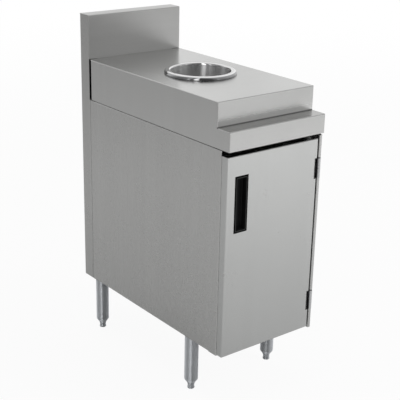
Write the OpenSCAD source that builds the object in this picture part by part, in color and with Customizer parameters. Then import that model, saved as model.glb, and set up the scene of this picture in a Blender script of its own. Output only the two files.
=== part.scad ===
// Underbar trash cabinet: a narrow stainless cabinet with a round chute in its worktop,
// a hinged door in front and a waste bin inside, on four legs with adjustable feet.
// Millimetres, +Z up. The origin lies on the floor under the middle of the cabinet,
// the door faces -Y and the backsplash stands at the back, towards +Y.

/* [Overall size] */
// Width across the side panels
body_w = 305; // [290:5:400]
// Depth from the front of the ledge to the back
body_d = 648; // [625:1:760]
// Height of the worktop above the floor
worktop_z = 806; // [780:1:900]
// Height of the lower edge of the body above the floor
body_z = 156; // [130:1:180]

/* [Backsplash and rear column] */
// Height of the backsplash above the worktop
splash_h = 119; // [60:1:200]
// Depth of the rear column and of the backsplash
splash_d = 43; // [35:1:60]
// Open gap between the ends of the worktop and the rear column
column_gap = 9; // [4:1:12]
// Width of the hems that close the front edges of the rear column
column_hem = 14; // [12:1:18]

/* [Worktop] */
// Thickness of the worktop sheet
top_t = 1.6; // [1.2:0.2:2]
// Depth of the lower ledge in front
ledge_d = 46; // [35:1:60]
// Drop from the worktop down to the ledge
ledge_drop = 62; // [45:1:70]
// Height of the front face of the ledge
ledge_h = 50; // [40:1:60]
// Depth of the lip turned in under the ledge
lip_d = 22; // [16:1:24]
// Height of the hem at the end of that lip
lip_hem = 10; // [6:1:14]
// Width of the flanges under the ends of the worktop
end_flange = 18; // [16:1:22]
// Width of the stiffening channels under the worktop
brace_w = 40; // [30:1:50]
// Depth of the stiffening channels
brace_h = 18; // [12:1:24]
// Width of the flanges of the stiffening channels
brace_flange = 12; // [8:1:16]
// Distance from the rim of the chute to each stiffening channel
brace_gap = 26; // [20:1:40]
// Depth of the flanges that join the worktop and the backsplash
top_tail = 25; // [20:1:35]

/* [Sheet metal] */
// Thickness of the body sheets
body_t = 1.2; // [1:0.1:1.5]
// Inside radius of the bends
bend_r = 1.6; // [1:0.1:2]
// Visible seam between neighbouring sheets
seam = 0.8; // [0.4:0.1:0.9]
// Width of the front flange of the left side panel
stile_w = 25; // [20:1:30]
// Depth of the front returns of the side panels
stile_d = 15; // [12:1:18]
// Width of the flanges at the top and bottom of the side panels
side_flange = 20; // [18:1:24]
// Distance from the front of the ledge to the front edge of the left side panel
side_front = 28; // [26:1:34]
// Height of the header and of the sill channel section
header_h = 30; // [24:1:36]
// Depth of the header and sill channels
header_d = 25; // [18:1:30]

/* [Floor and legs] */
// Height of the two leg channels
channel_h = 24; // [20:1:30]
// Width of the two leg channels
channel_w = 72; // [68:1:80]
// Thickness of the leg channels
channel_t = 2; // [1.5:0.1:2.5]
// Height of the lips round the floor pan
pan_lip = 12; // [8:1:20]
// Distance from the front of the ledge to the front legs
leg_front = 151; // [120:1:170]
// Distance from the back of the cabinet to the rear legs
leg_back = 63; // [58:1:80]
// Distance from the outside of a side panel to the middle of a leg
leg_inset = 19; // [19:0.5:24]
// Outer diameter of a leg
leg_dia = 36.5; // [32:0.5:37]
// Wall of a leg
leg_wall = 1.5; // [1.2:0.1:2]
// Height of the tapered end of a leg
leg_taper = 11.5; // [8:0.5:14]
// Height of the threaded collar in the lower end of a leg
collar_h = 18; // [16:1:22]
// Diameter of an adjustable foot
foot_dia = 19.5; // [16:0.5:21]
// Height of a foot below the end of its leg
foot_show = 16.5; // [14:0.5:20]
// Length of a foot inside its leg
foot_stem = 40; // [38:1:50]
// Length of the spigot of a leg socket inside the leg
spigot_l = 28; // [20:1:34]
// Thickness of the plate of a leg socket
socket_t = 5; // [4:0.5:6]
// Length across of the plate of a leg socket
socket_w = 56; // [52:1:60]

/* [Chute] */
// Bore of the chute
chute_dia = 156; // [130:2:170]
// Distance from the front of the ledge to the middle of the chute
chute_y = 307; // [285:1:325]
// Width of the rolled rim of the chute
rim_w = 16.5; // [12:0.5:18]
// Height of the rolled rim above the worktop
rim_h = 9.5; // [8:0.5:12]
// Radius of the inner edge of the rim
rim_r = 3.5; // [3:0.5:5]
// Wall of the chute
chute_t = 1.5; // [1.2:0.1:2]
// Length of the chute below the worktop
chute_l = 110; // [80:1:118]
// Clearance round the chute in the worktop
chute_clear = 0.7; // [0.4:0.1:1]

/* [Waste bin] */
// Depth of the bin from front to back at its rim
bin_d = 470; // [380:5:480]
// Wall of the bin
bin_t = 3; // [2:0.5:4]
// Draw-in of each side of the bin towards its base
bin_draft = 16; // [8:1:22]
// Corner radius of the bin
bin_r = 40; // [30:1:50]
// Height of the rolled rim of the bin
bin_rim_h = 18; // [12:1:24]
// Overhang of that rim
bin_rim_w = 6; // [4:0.5:8]
// Space between the top of the bin and the catch above the door opening
bin_head = 8; // [5:1:40]
// Clearance at each side of the bin in the door opening
bin_clear = 4; // [3:0.5:10]

/* [Door] */
// Distance from the front of the ledge to the face of the door
door_front = 5; // [5:0.5:7]
// Gap between the door and the hinge jamb
door_gap = 4.5; // [4:0.1:5]
// Width of the hinge jamb
jamb_w = 9; // [8.5:0.5:12]
// Depth of the inner return of the hinge jamb
jamb_d = 30; // [26:1:34]
// Open slot between the ledge and the top of the door
door_top_gap = 12.5; // [8:0.5:16]
// Distance from the lower edge of the body up to the door
door_low_gap = 4.5; // [3:0.5:8]
// Gap between the back of the door and the body
door_back_gap = 1; // [0.8:0.1:1.5]
// Width of the hems round the back of the door
door_hem = 15; // [12:1:18]
// Outer radius of the folded edges of the door
door_edge_r = 2.4; // [1.5:0.1:3]
// Width of the stiffener inside the door
stiffener_w = 60; // [40:1:80]

/* [Hinges] */
// Length of a hinge
hinge_l = 52; // [44:1:60]
// Distance from an end of the door to the middle of a hinge
hinge_inset = 78; // [60:1:110]
// Outer radius of a hinge knuckle
knuckle_r = 4.2; // [3.8:0.1:4.4]
// Radius of a hinge pin
pin_r = 2.4; // [2:0.1:2.6]
// Running clearance of a pin in its knuckles
pin_clear = 0.05; // [0.02:0.01:0.08]
// Thickness of a hinge leaf
leaf_t = 1.5; // [1.2:0.1:1.6]
// Depth of a hinge leaf
leaf_d = 17.5; // [16:0.5:17.5]
// Distance from the door to the middle of the pin
pin_side = 6; // [5.8:0.1:6.3]
// Distance from the face of the door forward to the middle of the pin
pin_front = 0.5; // [0.4:0.1:0.6]
// Width of the notch in the door beside a hinge
notch_w = 8.5; // [6:0.5:10]
// Depth of the notches from the face of the door
notch_d = 5.5; // [5:0.5:6]
// Clearance above and below a hinge in its notch
notch_clear = 1; // [0.5:0.1:2]
// Thickness of the strips behind the hinge leaves
strip_t = 3; // [2:0.5:4]

/* [Handle and catch] */
// Distance from the left edge of the door to the handle
handle_x = 25; // [22:1:60]
// Distance from the top of the door to the handle
handle_z = 50.5; // [40:0.5:160]
// Width of the handle
handle_w = 41; // [36:1:48]
// Height of the handle
handle_h = 144; // [110:1:160]
// Width of the bezel round the handle's recess
bezel_w = 3.2; // [2.5:0.1:4]
// Thickness of the bezel in front of the door
bezel_t = 1.2; // [0.8:0.1:1.5]
// Depth of the recess behind the face of the door
recess_d = 14; // [10:0.5:15]
// Wall of the handle cup
cup_t = 1.8; // [1.4:0.1:2.2]
// Radius of the handle's corners
handle_r = 3; // [2:0.5:5]
// Width of the magnetic catch with its ears
catch_w = 62; // [56:1:70]
// Height of the magnetic catch
catch_h = 16; // [14:1:20]
// Depth of the magnetic catch
catch_d = 20; // [16:1:22]
// Width of the magnet and of the strike plate
magnet_w = 32; // [26:1:36]
// Working gap between the magnet and the strike plate
magnet_gap = 0.3; // [0.3:0.1:0.5]

/* [Fasteners] */
// Radius of the body screws
screw_r = 2; // [1.5:0.1:2.2]
// Radius of the leg bolts
bolt_r = 3; // [2.5:0.5:3.5]
// Clearance of a screw or bolt in its hole
hole_clear = 0.15; // [0.1:0.05:0.2]
// Distance from the front of the ledge to the first worktop bolts
bolt_front = 120; // [100:5:160]
// Distance from the back of the worktop to the last worktop bolts
bolt_back = 100; // [80:5:160]
// Distance from the ends of the hems to the end rivets
rivet_end = 50; // [40:5:80]

/* [Hidden] */

// Finishes
brushed = [0.72, 0.72, 0.71];
satin = [0.62, 0.63, 0.63];
polished = [0.80, 0.81, 0.82];
zinc = [0.58, 0.59, 0.60];
black_plastic = [0.06, 0.06, 0.06];
dark_grey_plastic = [0.22, 0.23, 0.24];
magnet_black = [0.12, 0.12, 0.13];

// Edges of the body
x_left = -body_w / 2;
x_right = body_w / 2;
y_front = -body_d / 2;
y_back = body_d / 2;
y_column = y_back - splash_d;
z_splash = worktop_z + splash_h;
z_ledge = worktop_z - ledge_drop;
z_apron = z_ledge - ledge_h;
z_side = z_apron - seam;

// Planes of the front
y_side = y_front + side_front;
y_door = y_front + door_front;
y_door_back = y_side - door_back_gap;
y_ledge = y_front + ledge_d;
y_seam = y_column - seam;
y_end = y_column - column_gap;

// Floor
z_channel = body_z + body_t;
z_pan = z_channel + channel_h;
z_floor = z_pan + body_t;
z_hem = z_floor + pan_lip + 2;

// Worktop
y_top_back = y_column - 0.3;
y_chute = y_front + chute_y;
chute_r = chute_dia / 2;
brace_reach = chute_r + rim_w + brace_gap + brace_w / 2;
z_under = worktop_z - top_t;
splash_tail = top_tail * 1.2;
splash_tail_inset = top_tail;

// Door
door_w = body_w - jamb_w - door_gap;
x_door_right = x_left + door_w;
z_door_top = z_apron - door_top_gap;
z_door_low = body_z + door_low_gap;
x_jamb = x_right - jamb_w;
z_header_top = z_door_top - 2;
z_header_low = z_header_top - header_h;
x_stile = x_left + stile_w;

// Hinges
x_pin = x_door_right + pin_side;
y_pin = y_door - pin_front;
hinge_z = [z_door_top - hinge_inset, z_door_low + hinge_inset];
z_split = 0.15;
leaf_start = y_pin + knuckle_r + 0.7;
leaf_end = y_pin + knuckle_r + leaf_d;
hinge_screw_y = (leaf_start + leaf_end) / 2;
hinge_screw_pitch = hinge_l / 2 - 9;
head_h = leaf_t - 0.3;
head_r = screw_r + head_h;

// Legs
leg_r = leg_dia / 2;
leg_bore_r = leg_r - leg_wall;
foot_r = foot_dia / 2;
foot_fit = 0.08;
leg_tip_r = foot_r + 1.3;
leg_x = [x_left + leg_inset, x_right - leg_inset];
leg_y = [y_front + leg_front, y_back - leg_back];
spigot_r = leg_bore_r - 0.15;
socket_l = 48;
socket_bolt_x = leg_r + 6;
socket_bolt_y = socket_w / 2 - 8;
z_web = z_channel + channel_t;

// Bin
bin_x = (x_stile + x_jamb - leaf_t) / 2;
bin_w = x_jamb - leaf_t - x_stile - 2 * bin_clear;
z_bin_top = z_header_low - catch_h - bin_head;

// Fasteners of the worktop and of the column
worktop_bolt_x = [x_left + 11, x_right - 11];
worktop_bolt_y = [y_front + bolt_front, y_end - bolt_back];
rivet_x = [x_left + column_hem - 5, x_right - column_hem + 5];
rivet_z = [z_hem + rivet_end, (z_hem + z_side) / 2, z_side - rivet_end];

// Catch
catch_x = x_stile + 12;
y_catch = y_door_back - body_t + 2.4 + magnet_gap;
strike_t = 2.4;
liner_in = 0.2;
liner_t = body_t;
liner_flange = 3;
x_stiffener = x_left + door_w * 0.56;

bend_steps = 4;
round_fn = 64;

// Unit direction from p to q.
function heading(p, q) = (q - p) / norm(q - p);

// The direction to the right of a.
function right_of(a) = [a[1], -a[0]];

// Plus one where the path turns left from a to b, minus one where it turns right.
function turn(a, b) = sign(a[0] * b[1] - a[1] * b[0]);

// The bend at corner i of a right-angled path, on the path's own side or on the far side of the sheet.
function bend(path, i, t, far) =
    let (
        a = heading(path[i - 1], path[i]),
        b = heading(path[i], path[i + 1]),
        s = turn(a, b),
        near_r = s > 0 ? bend_r : bend_r + t,
        far_r = s > 0 ? bend_r + t : bend_r,
        centre = path[i] - a * near_r + b * near_r,
        r = far ? far_r : near_r
    )
    [for (k = [0 : bend_steps])
        centre + r * (a * sin(90 * k / bend_steps) - b * cos(90 * k / bend_steps))];

// All points of one side of a bent sheet.
function sheet_side(path, t, far) =
    let (
        n = len(path),
        step = far ? t : 0,
        first = path[0] + step * right_of(heading(path[0], path[1])),
        last = path[n - 1] + step * right_of(heading(path[n - 2], path[n - 1]))
    )
    concat([first], [for (i = [1 : 1 : n - 2]) each bend(path, i, t, far)], [last]);

function backwards(v) = [for (i = [len(v) - 1 : -1 : 0]) v[i]];

// Section of a bent sheet whose outer face follows the path and whose thickness lies to the right of it.
module bent(path, t) {
    polygon(concat(sheet_side(path, t, false), backwards(sheet_side(path, t, true))));
}

// A section drawn in Y and Z, run along X.
module along_x(x0, x1) {
    translate([x0, 0, 0]) rotate([90, 0, 90]) linear_extrude(x1 - x0) children();
}

// A section drawn in X and Z, run along Y.
module along_y(y0, y1) {
    translate([0, y1, 0]) rotate([90, 0, 0]) linear_extrude(y1 - y0) children();
}

// A section drawn in X and Y, run along Z.
module along_z(z0, z1) {
    translate([0, 0, z0]) linear_extrude(z1 - z0) children();
}

// A block between two corners.
module block(a, b) {
    translate(a) cube(b - a);
}

// A rectangle with round corners between two corners.
module round_rect(a, b, r) {
    translate([a[0] + r, a[1]]) square([b[0] - a[0] - 2 * r, b[1] - a[1]]);
    translate([a[0], a[1] + r]) square([b[0] - a[0], b[1] - a[1] - 2 * r]);
    for (x = [a[0] + r, b[0] - r], y = [a[1] + r, b[1] - r])
        translate([x, y]) circle(r, $fn = 32);
}

// A round bar along Z, and the same bar along X.
module bar(r, z0, z1) {
    translate([0, 0, z0]) cylinder(h = z1 - z0, r = r, $fn = round_fn);
}

module bar_x(r, x0, x1) {
    rotate([0, 90, 0]) bar(r, x0, x1);
}

module bar_y(r, y0, y1) {
    rotate([-90, 0, 0]) bar(r, y0, y1);
}

// Outline of the worktop from the lip under the ledge to the back.
top_path = [
    [y_front + lip_d, z_apron], [y_front, z_apron], [y_front, z_ledge], [y_ledge, z_ledge],
    [y_ledge, worktop_z], [y_top_back, worktop_z]
];

// The worktop: one sheet folded into the front ledge, with the hole for the chute.
module worktop() {
    color(brushed) difference() {
        union() {
            along_x(x_left, x_right) bent(top_path, top_t);
            block([x_left + top_t + 0.3, y_front + lip_d - top_t, z_apron],
                [x_right - top_t - 0.3, y_front + lip_d, z_apron + lip_hem]);
            along_x(x_left + splash_tail_inset, x_right - splash_tail_inset)
                bent([[y_end, worktop_z], [y_top_back, worktop_z], [y_top_back, worktop_z - top_tail]], top_t);
        }
        translate([0, y_chute, 0]) bar(chute_r + chute_t + chute_clear, z_under - 5, worktop_z + 5);
    }
}

// An end of the worktop: a stepped plate that closes the fold, with flanges below and behind.
module worktop_end() {
    end_path = [
        [y_front + lip_d + seam, z_apron], [y_front, z_apron], [y_front, z_ledge],
        [y_ledge, z_ledge], [y_ledge, worktop_z], [y_end, worktop_z]
    ];
    color(brushed) difference() {
        union() {
            along_x(x_left, x_left + top_t)
                polygon(concat(sheet_side(end_path, top_t, true), [[y_end, z_apron],
                    [y_front + lip_d + seam, z_apron]]));
            block([x_left, y_front + lip_d + seam, z_apron], [x_left + end_flange, y_end, z_apron + top_t]);
            block([x_left, y_end - top_t, z_apron], [x_left + end_flange, y_end, z_under]);
        }
        for (y = worktop_bolt_y)
            translate([worktop_bolt_x[0], y, 0]) bar(screw_r + hole_clear, z_apron - 1, z_apron + top_t + 1);
    }
}

module worktop_end_left() {
    worktop_end();
}

module worktop_end_right() {
    mirror([1, 0, 0]) worktop_end();
}

// A hat channel across the underside of the worktop.
module brace(y) {
    w = brace_w / 2;
    path = [
        [y - w - brace_flange, z_under], [y - w, z_under], [y - w, z_under - brace_h],
        [y + w, z_under - brace_h], [y + w, z_under], [y + w + brace_flange, z_under]
    ];
    color(satin) along_x(x_left + top_t, x_right - top_t) bent(path, body_t);
}

module worktop_brace_front() {
    brace(y_chute - brace_reach);
}

module worktop_brace_rear() {
    brace(y_chute + brace_reach);
}

// The backsplash: its face and its top are one folded sheet, with a tail behind the worktop.
module backsplash() {
    face_path = [[y_column, worktop_z], [y_column, z_splash], [y_back, z_splash]];
    color(brushed) union() {
        along_x(x_left, x_right) bent(face_path, body_t);
        block([x_left + splash_tail_inset, y_column, worktop_z - splash_tail],
            [x_right - splash_tail_inset, y_column + body_t, worktop_z + 1]);
    }
}

// The rear casing: the back with a full-height return at each side.
module rear_casing() {
    y_return = y_column + body_t;
    z_cap = z_splash - body_t;
    hemmed = [
        [x_left + column_hem, y_column], [x_left, y_column], [x_left, y_back], [x_right, y_back],
        [x_right, y_column], [x_right - column_hem, y_column]
    ];
    open = [[x_left, y_column], [x_left, y_back], [x_right, y_back], [x_right, y_column]];
    behind_splash = [[x_left, y_return], [x_left, y_back], [x_right, y_back], [x_right, y_return]];
    color(brushed) difference() {
        union() {
            along_z(body_z, z_hem) bent(open, body_t);
            along_z(z_hem, z_side) bent(hemmed, body_t);
            along_z(z_side, worktop_z) bent(open, body_t);
            along_z(worktop_z, z_cap) bent(behind_splash, body_t);
        }
        rivet_holes();
    }
}

// A side panel, drawn as the left one: the side sheet with its front return, its rear flange and
// the flanges at its top and bottom.
module side_panel(front, return_w, return_d, flange_top) {
    flange_start = y_side + header_d + 2;
    lap_front = [front + return_d, front + 2 * return_d];
    lap_back = y_seam - side_flange;
    front_path = [
        [x_left + return_w, lap_front[0]], [x_left + return_w, front], [x_left, front],
        [x_left, lap_front[1]]
    ];
    rear_path = [[x_left, lap_back], [x_left, y_seam], [x_left + column_hem, y_seam]];
    flange_path = [
        [x_left + side_flange, body_z], [x_left, body_z], [x_left, z_side], [x_left + side_flange, z_side]
    ];
    difference() {
        union() {
            along_z(body_z, flange_top) bent(front_path, body_t);
            block([x_left, front, flange_top - 1], [x_left + body_t, lap_front[1], z_side]);
            block([x_left, lap_front[0], body_z], [x_left + body_t, flange_start + 1, z_side]);
            along_y(flange_start, y_seam - bend_r - body_t) bent(flange_path, body_t);
            along_z(z_hem, z_side) bent(rear_path, body_t);
            block([x_left, lap_back, body_z], [x_left + body_t, y_seam, z_hem]);
        }
        for (y = leg_y)
            translate([leg_x[0], y, 0]) bar(leg_bore_r + 0.4, body_z - 1, body_z + body_t + 1);
        for (y = worktop_bolt_y)
            translate([worktop_bolt_x[0], y, 0]) bar(screw_r + hole_clear, z_side - body_t - 1, z_side + 1);
        rivet_holes();
    }
}

module left_side_panel() {
    color(brushed) side_panel(y_side, stile_w, stile_d, z_header_top);
}

// The right side panel reaches forward to the face of the door and carries the hinges.
module right_side_panel() {
    color(brushed) difference() {
        mirror([1, 0, 0]) side_panel(y_door, jamb_w, jamb_d, z_side);
        for (z = hinge_z)
            jamb_notch(z);
        for (z = hinge_z)
            frame_screw_holes(z);
    }
}

// The cut in the jamb that takes the knuckles of one hinge.
module jamb_notch(z) {
    reach = hinge_l / 2 + notch_clear;
    block([x_jamb - 1, y_door - 1, z - reach], [x_right - body_t - 1.6, y_door + notch_d, z + reach]);
}

module frame_screw_holes(z) {
    for (s = [-1, 1])
        translate([0, hinge_screw_y, z + s * hinge_screw_pitch])
            bar_x(screw_r + hole_clear, x_jamb - 1, x_jamb + body_t + strip_t + 1);
}

// The thick strip inside the hinge jamb that the hinge screws bite into.
module jamb_strip() {
    color(zinc) difference() {
        block([x_jamb + body_t, y_door + notch_d + 2, z_door_low + 20],
            [x_jamb + body_t + strip_t, y_door + jamb_d, z_door_top - 20]);
        for (z = hinge_z)
            frame_screw_holes(z);
    }
}

// The channel across the top of the door opening.
module front_header() {
    path = [
        [y_side + header_d, z_header_low], [y_side, z_header_low],
        [y_side, z_header_top], [y_side + header_d, z_header_top]
    ];
    color(satin) difference() {
        along_x(x_stile, x_jamb) bent(path, body_t);
        catch_screw_holes();
    }
}

// The channel across the bottom of the door opening.
module front_sill() {
    path = [
        [y_side + header_d, body_z], [y_side, body_z], [y_side, z_pan], [y_side + header_d, z_pan]
    ];
    color(satin) along_x(x_stile, x_jamb) bent(path, body_t);
}

// The floor of the cabinet, a pan with a lip at each side and at the back.
module floor_pan() {
    x0 = x_left + body_t;
    x1 = x_right - body_t;
    y0 = max(y_side + stile_d, y_door + jamb_d) + 1;
    y1 = y_back - body_t - bend_r - 0.2;
    path = [[x1, z_floor + pan_lip], [x1, z_pan], [x0, z_pan], [x0, z_floor + pan_lip]];
    color(satin) union() {
        along_y(y0, y1) bent(path, body_t);
        block([x_stile, y_side, z_pan], [x_jamb, y0 + 1, z_floor]);
        block([x0 + 4, y1 - body_t, z_pan], [x1 - 4, y1, z_floor + pan_lip]);
    }
}

// A channel across the body under the floor pan, with the holes of two leg sockets.
module leg_channel(y) {
    path = [
        [y + channel_w / 2, z_pan], [y + channel_w / 2, z_channel],
        [y - channel_w / 2, z_channel], [y - channel_w / 2, z_pan]
    ];
    color(satin) difference() {
        along_x(x_left + body_t + bend_r, x_right - body_t - bend_r) bent(path, channel_t);
        for (x = leg_x)
            translate([x, y, 0]) bar(spigot_r + 0.3, z_channel - 1, z_web + 1);
        for (i = [0, 1])
            socket_bolt_places(i, y) bar(bolt_r + hole_clear, z_channel - 1, z_web + 1);
    }
}

module leg_channel_front() {
    leg_channel(leg_y[0]);
}

module leg_channel_rear() {
    leg_channel(leg_y[1]);
}

// The two bolts of the socket at side i, on the inner side of its leg.
module socket_bolt_places(i, y) {
    inward = i == 0 ? 1 : -1;
    for (s = [-1, 1])
        translate([leg_x[i] + inward * socket_bolt_x, y + s * socket_bolt_y, 0]) children();
}

// A leg socket: a plate on the channel with a spigot down into the leg.
module leg_socket(i, j) {
    x_wall = x_left + body_t + 0.4;
    color(zinc) difference() {
        union() {
            mirror([i, 0, 0]) block([x_wall, leg_y[j] - socket_w / 2, z_web],
                [x_wall + socket_l, leg_y[j] + socket_w / 2, z_web + socket_t]);
            translate([leg_x[i], leg_y[j], 0]) bar(spigot_r, body_z - spigot_l, z_web + 1);
        }
        socket_bolt_places(i, leg_y[j]) bar(bolt_r + hole_clear, z_web - 1, z_web + socket_t + 1);
    }
}

module leg_socket_front_left() {
    leg_socket(0, 0);
}

module leg_socket_front_right() {
    leg_socket(1, 0);
}

module leg_socket_back_left() {
    leg_socket(0, 1);
}

module leg_socket_back_right() {
    leg_socket(1, 1);
}

// The hexagon bolts that hold the sockets, with their heads under the channels.
module leg_socket_bolts() {
    color(zinc) for (i = [0, 1], y = leg_y)
        socket_bolt_places(i, y) union() {
            translate([0, 0, z_channel - bolt_r * 1.3]) cylinder(h = bolt_r * 1.3, r = bolt_r * 1.9, $fn = 6);
            bar(bolt_r, z_channel - 1, z_web + socket_t - 0.2);
        }
}

// A leg: a tube with a tapered end and a collar inside it for the foot.
module leg(i, j) {
    bore = foot_r + foot_fit;
    z0 = foot_show;
    outline = [
        [bore, z0], [leg_tip_r, z0], [leg_r, z0 + leg_taper], [leg_r, body_z], [leg_bore_r, body_z],
        [leg_bore_r, z0 + collar_h], [bore, z0 + collar_h]
    ];
    color(polished) translate([leg_x[i], leg_y[j], 0]) rotate_extrude($fn = round_fn) polygon(outline);
}

module leg_front_left() {
    leg(0, 0);
}

module leg_front_right() {
    leg(1, 0);
}

module leg_back_left() {
    leg(0, 1);
}

module leg_back_right() {
    leg(1, 1);
}

// An adjustable foot, which screws up and down in its leg.
module foot(i, j) {
    edge = 1.2;
    outline = [
        [0, 0], [foot_r - edge, 0], [foot_r, edge], [foot_r, foot_show + foot_stem - edge],
        [foot_r - edge, foot_show + foot_stem], [0, foot_show + foot_stem]
    ];
    color(polished) translate([leg_x[i], leg_y[j], 0]) rotate_extrude($fn = round_fn) polygon(outline);
}

module foot_front_left() {
    foot(0, 0);
}

module foot_front_right() {
    foot(1, 0);
}

module foot_back_left() {
    foot(0, 1);
}

module foot_back_right() {
    foot(1, 1);
}

// The bolts through the flanges between the worktop and the side panels, and their nuts.
module worktop_bolts() {
    color(zinc) for (x = worktop_bolt_x, y = worktop_bolt_y)
        translate([x, y, z_side - body_t]) union() {
            translate([0, 0, -screw_r * 1.4]) cylinder(h = screw_r * 1.4, r = screw_r * 1.9, $fn = 6);
            bar(screw_r, -1, seam + body_t + top_t + 6);
        }
}

module worktop_nuts() {
    color(zinc) for (x = worktop_bolt_x, y = worktop_bolt_y)
        translate([x, y, z_apron + top_t]) difference() {
            cylinder(h = screw_r * 1.7, r = screw_r * 2, $fn = 6);
            bar(screw_r + 0.05, -1, screw_r * 1.7 + 1);
        }
}

// Holes through the rear flanges of the side panels and the hems of the rear casing.
module rivet_holes() {
    for (x = rivet_x, z = rivet_z)
        translate([x, 0, z]) bar_y(screw_r + hole_clear, y_seam - body_t - 1, y_column + body_t + 1);
}

// The blind rivets between the side panels and the rear casing.
module casing_rivets() {
    color(zinc) for (x = rivet_x, z = rivet_z)
        translate([x, 0, z]) union() {
            bar_y(screw_r * 1.8, y_seam - body_t - 1, y_seam - body_t);
            bar_y(screw_r, y_seam - body_t - 0.5, y_column + body_t + 0.5);
            bar_y(screw_r * 1.4, y_column + body_t, y_column + body_t + 3);
        }
}

// A hinge leaf on one side of the gap beside the door. Its knuckle fills the upper or lower half.
module hinge_leaf(z, x0, upper) {
    half = hinge_l / 2;
    k0 = upper ? z + z_split : z - half;
    k1 = upper ? z + half : z - z_split;
    reach = x0 < x_pin - knuckle_r + 1 ? y_pin : y_pin + knuckle_r / 2;
    difference() {
        union() {
            block([x0, leaf_start, z - half], [x0 + leaf_t, leaf_end, z + half]);
            block([x0, reach, k0], [x0 + leaf_t, leaf_start + 1, k1]);
            block([x0, y_pin, k0], [x_pin, y_pin + knuckle_r * 0.9, k1]);
            translate([x_pin, y_pin, 0]) bar(knuckle_r, k0, k1);
        }
        translate([x_pin, y_pin, 0]) bar(pin_r + pin_clear, k0 - 1, k1 + 1);
    }
}

// Sunk holes for the screws of a leaf, with the heads towards x_head.
module sunk_screw(x_head, inward, length, extra) {
    points = [
        [0, -extra], [head_r + extra, -extra], [screw_r + extra, head_h], [screw_r + extra, length],
        [0, length]
    ];
    translate([x_head, 0, 0]) rotate([0, inward * 90, 0]) rotate_extrude($fn = 32) polygon(points);
}

module leaf_screw_places(z) {
    for (s = [-1, 1])
        translate([0, hinge_screw_y, z + s * hinge_screw_pitch]) children();
}

module frame_leaf(z) {
    color(polished) difference() {
        hinge_leaf(z, x_jamb - leaf_t, false);
        leaf_screw_places(z) sunk_screw(x_jamb - leaf_t, 1, leaf_t + 1, hole_clear);
    }
}

module upper_hinge_frame_leaf() {
    frame_leaf(hinge_z[0]);
}

module lower_hinge_frame_leaf() {
    frame_leaf(hinge_z[1]);
}

module door_leaf(z) {
    color(polished) difference() {
        hinge_leaf(z, x_door_right, true);
        leaf_screw_places(z) sunk_screw(x_door_right + leaf_t, -1, leaf_t + 1, hole_clear);
    }
}

module upper_hinge_door_leaf() {
    door_leaf(hinge_z[0]);
}

module lower_hinge_door_leaf() {
    door_leaf(hinge_z[1]);
}

// A hinge pin with a small head under the lower knuckle.
module hinge_pin(z) {
    half = hinge_l / 2;
    color(polished) translate([x_pin, y_pin, z]) union() {
        bar(pin_r, -half, half - 0.5);
        bar(pin_r + 0.9, -half - 0.8, -half);
    }
}

module upper_hinge_pin() {
    hinge_pin(hinge_z[0]);
}

module lower_hinge_pin() {
    hinge_pin(hinge_z[1]);
}

module frame_hinge_screws() {
    color(zinc) for (z = hinge_z)
        leaf_screw_places(z) sunk_screw(x_jamb - leaf_t, 1, leaf_t + body_t + strip_t, 0);
}

module door_hinge_screws() {
    color(zinc) for (z = hinge_z)
        leaf_screw_places(z) sunk_screw(x_door_right + leaf_t, -1, leaf_t + body_t + strip_t, 0);
}

// The outer block of the door, with its edges rounded as folded sheet.
module door_block(shrink) {
    x0 = x_left + shrink;
    x1 = x_door_right - shrink;
    y0 = y_door + shrink;
    y1 = y_door_back - shrink;
    z0 = z_door_low + shrink;
    z1 = z_door_top - shrink;
    r = door_edge_r - shrink;
    intersection() {
        along_z(z0, z1) round_rect([x0, y0], [x1, y1], r);
        along_x(x0, x1) round_rect([y0, z0], [y1, z1], r);
    }
}

// The skin of the door: its face, four returns and the hems round its back.
module door_skin() {
    color(brushed) difference() {
        door_block(0);
        door_block(body_t);
        block([x_left + door_hem, y_door_back - 5, z_door_low + door_hem],
            [x_door_right - door_hem, y_door_back + 1, z_door_top - door_hem]);
        for (z = hinge_z)
            door_notch(z);
        for (z = hinge_z)
            door_screw_holes(z);
        handle_block(0.3, y_door - 1, y_door + body_t + 1, bezel_w - cup_t);
    }
}

// The cut in the door that clears the knuckles of one hinge.
module door_notch(z) {
    reach = hinge_l / 2 + notch_clear;
    block([x_door_right - notch_w, y_door - 1, z - reach], [x_door_right + 1, y_door + notch_d, z + reach]);
}

module door_screw_holes(z) {
    leaf_screw_places(z) bar_x(screw_r + hole_clear, x_door_right - body_t - strip_t - 1, x_door_right + 1);
}

// The liner that closes the back of the door, tucked behind the hems, with short flanges forward.
module door_liner() {
    inset = door_edge_r + liner_in;
    y1 = y_door_back - body_t;
    y0 = y1 - liner_flange;
    color(satin) difference() {
        block([x_left + inset, y0, z_door_low + inset], [x_door_right - inset, y1, z_door_top - inset]);
        block([x_left + inset + liner_t, y0 - 1, z_door_low + inset + liner_t],
            [x_door_right - inset - liner_t, y1 - liner_t, z_door_top - inset - liner_t]);
        block([x_door_right - inset - strip_t - 2, y0 - 1, z_door_low + 10],
            [x_door_right - inset + 1, y1 - liner_t, z_door_top - 10]);
        strike_places() bar_y(screw_r + hole_clear, y1 - liner_t - 1, y1 + 1);
    }
}

// The hat channel that stiffens the door behind its face.
module door_stiffener() {
    y0 = y_door + body_t;
    y1 = y_door_back - 2 * body_t - liner_t;
    w = stiffener_w / 2;
    foot_w = 14;
    path = [
        [x_stiffener + w, y0], [x_stiffener + w - foot_w, y0], [x_stiffener + w - foot_w, y1],
        [x_stiffener - w + foot_w, y1], [x_stiffener - w + foot_w, y0], [x_stiffener - w, y0]
    ];
    color(satin) along_z(z_door_low + 20, z_door_top - 20) bent(path, body_t);
}

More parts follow.
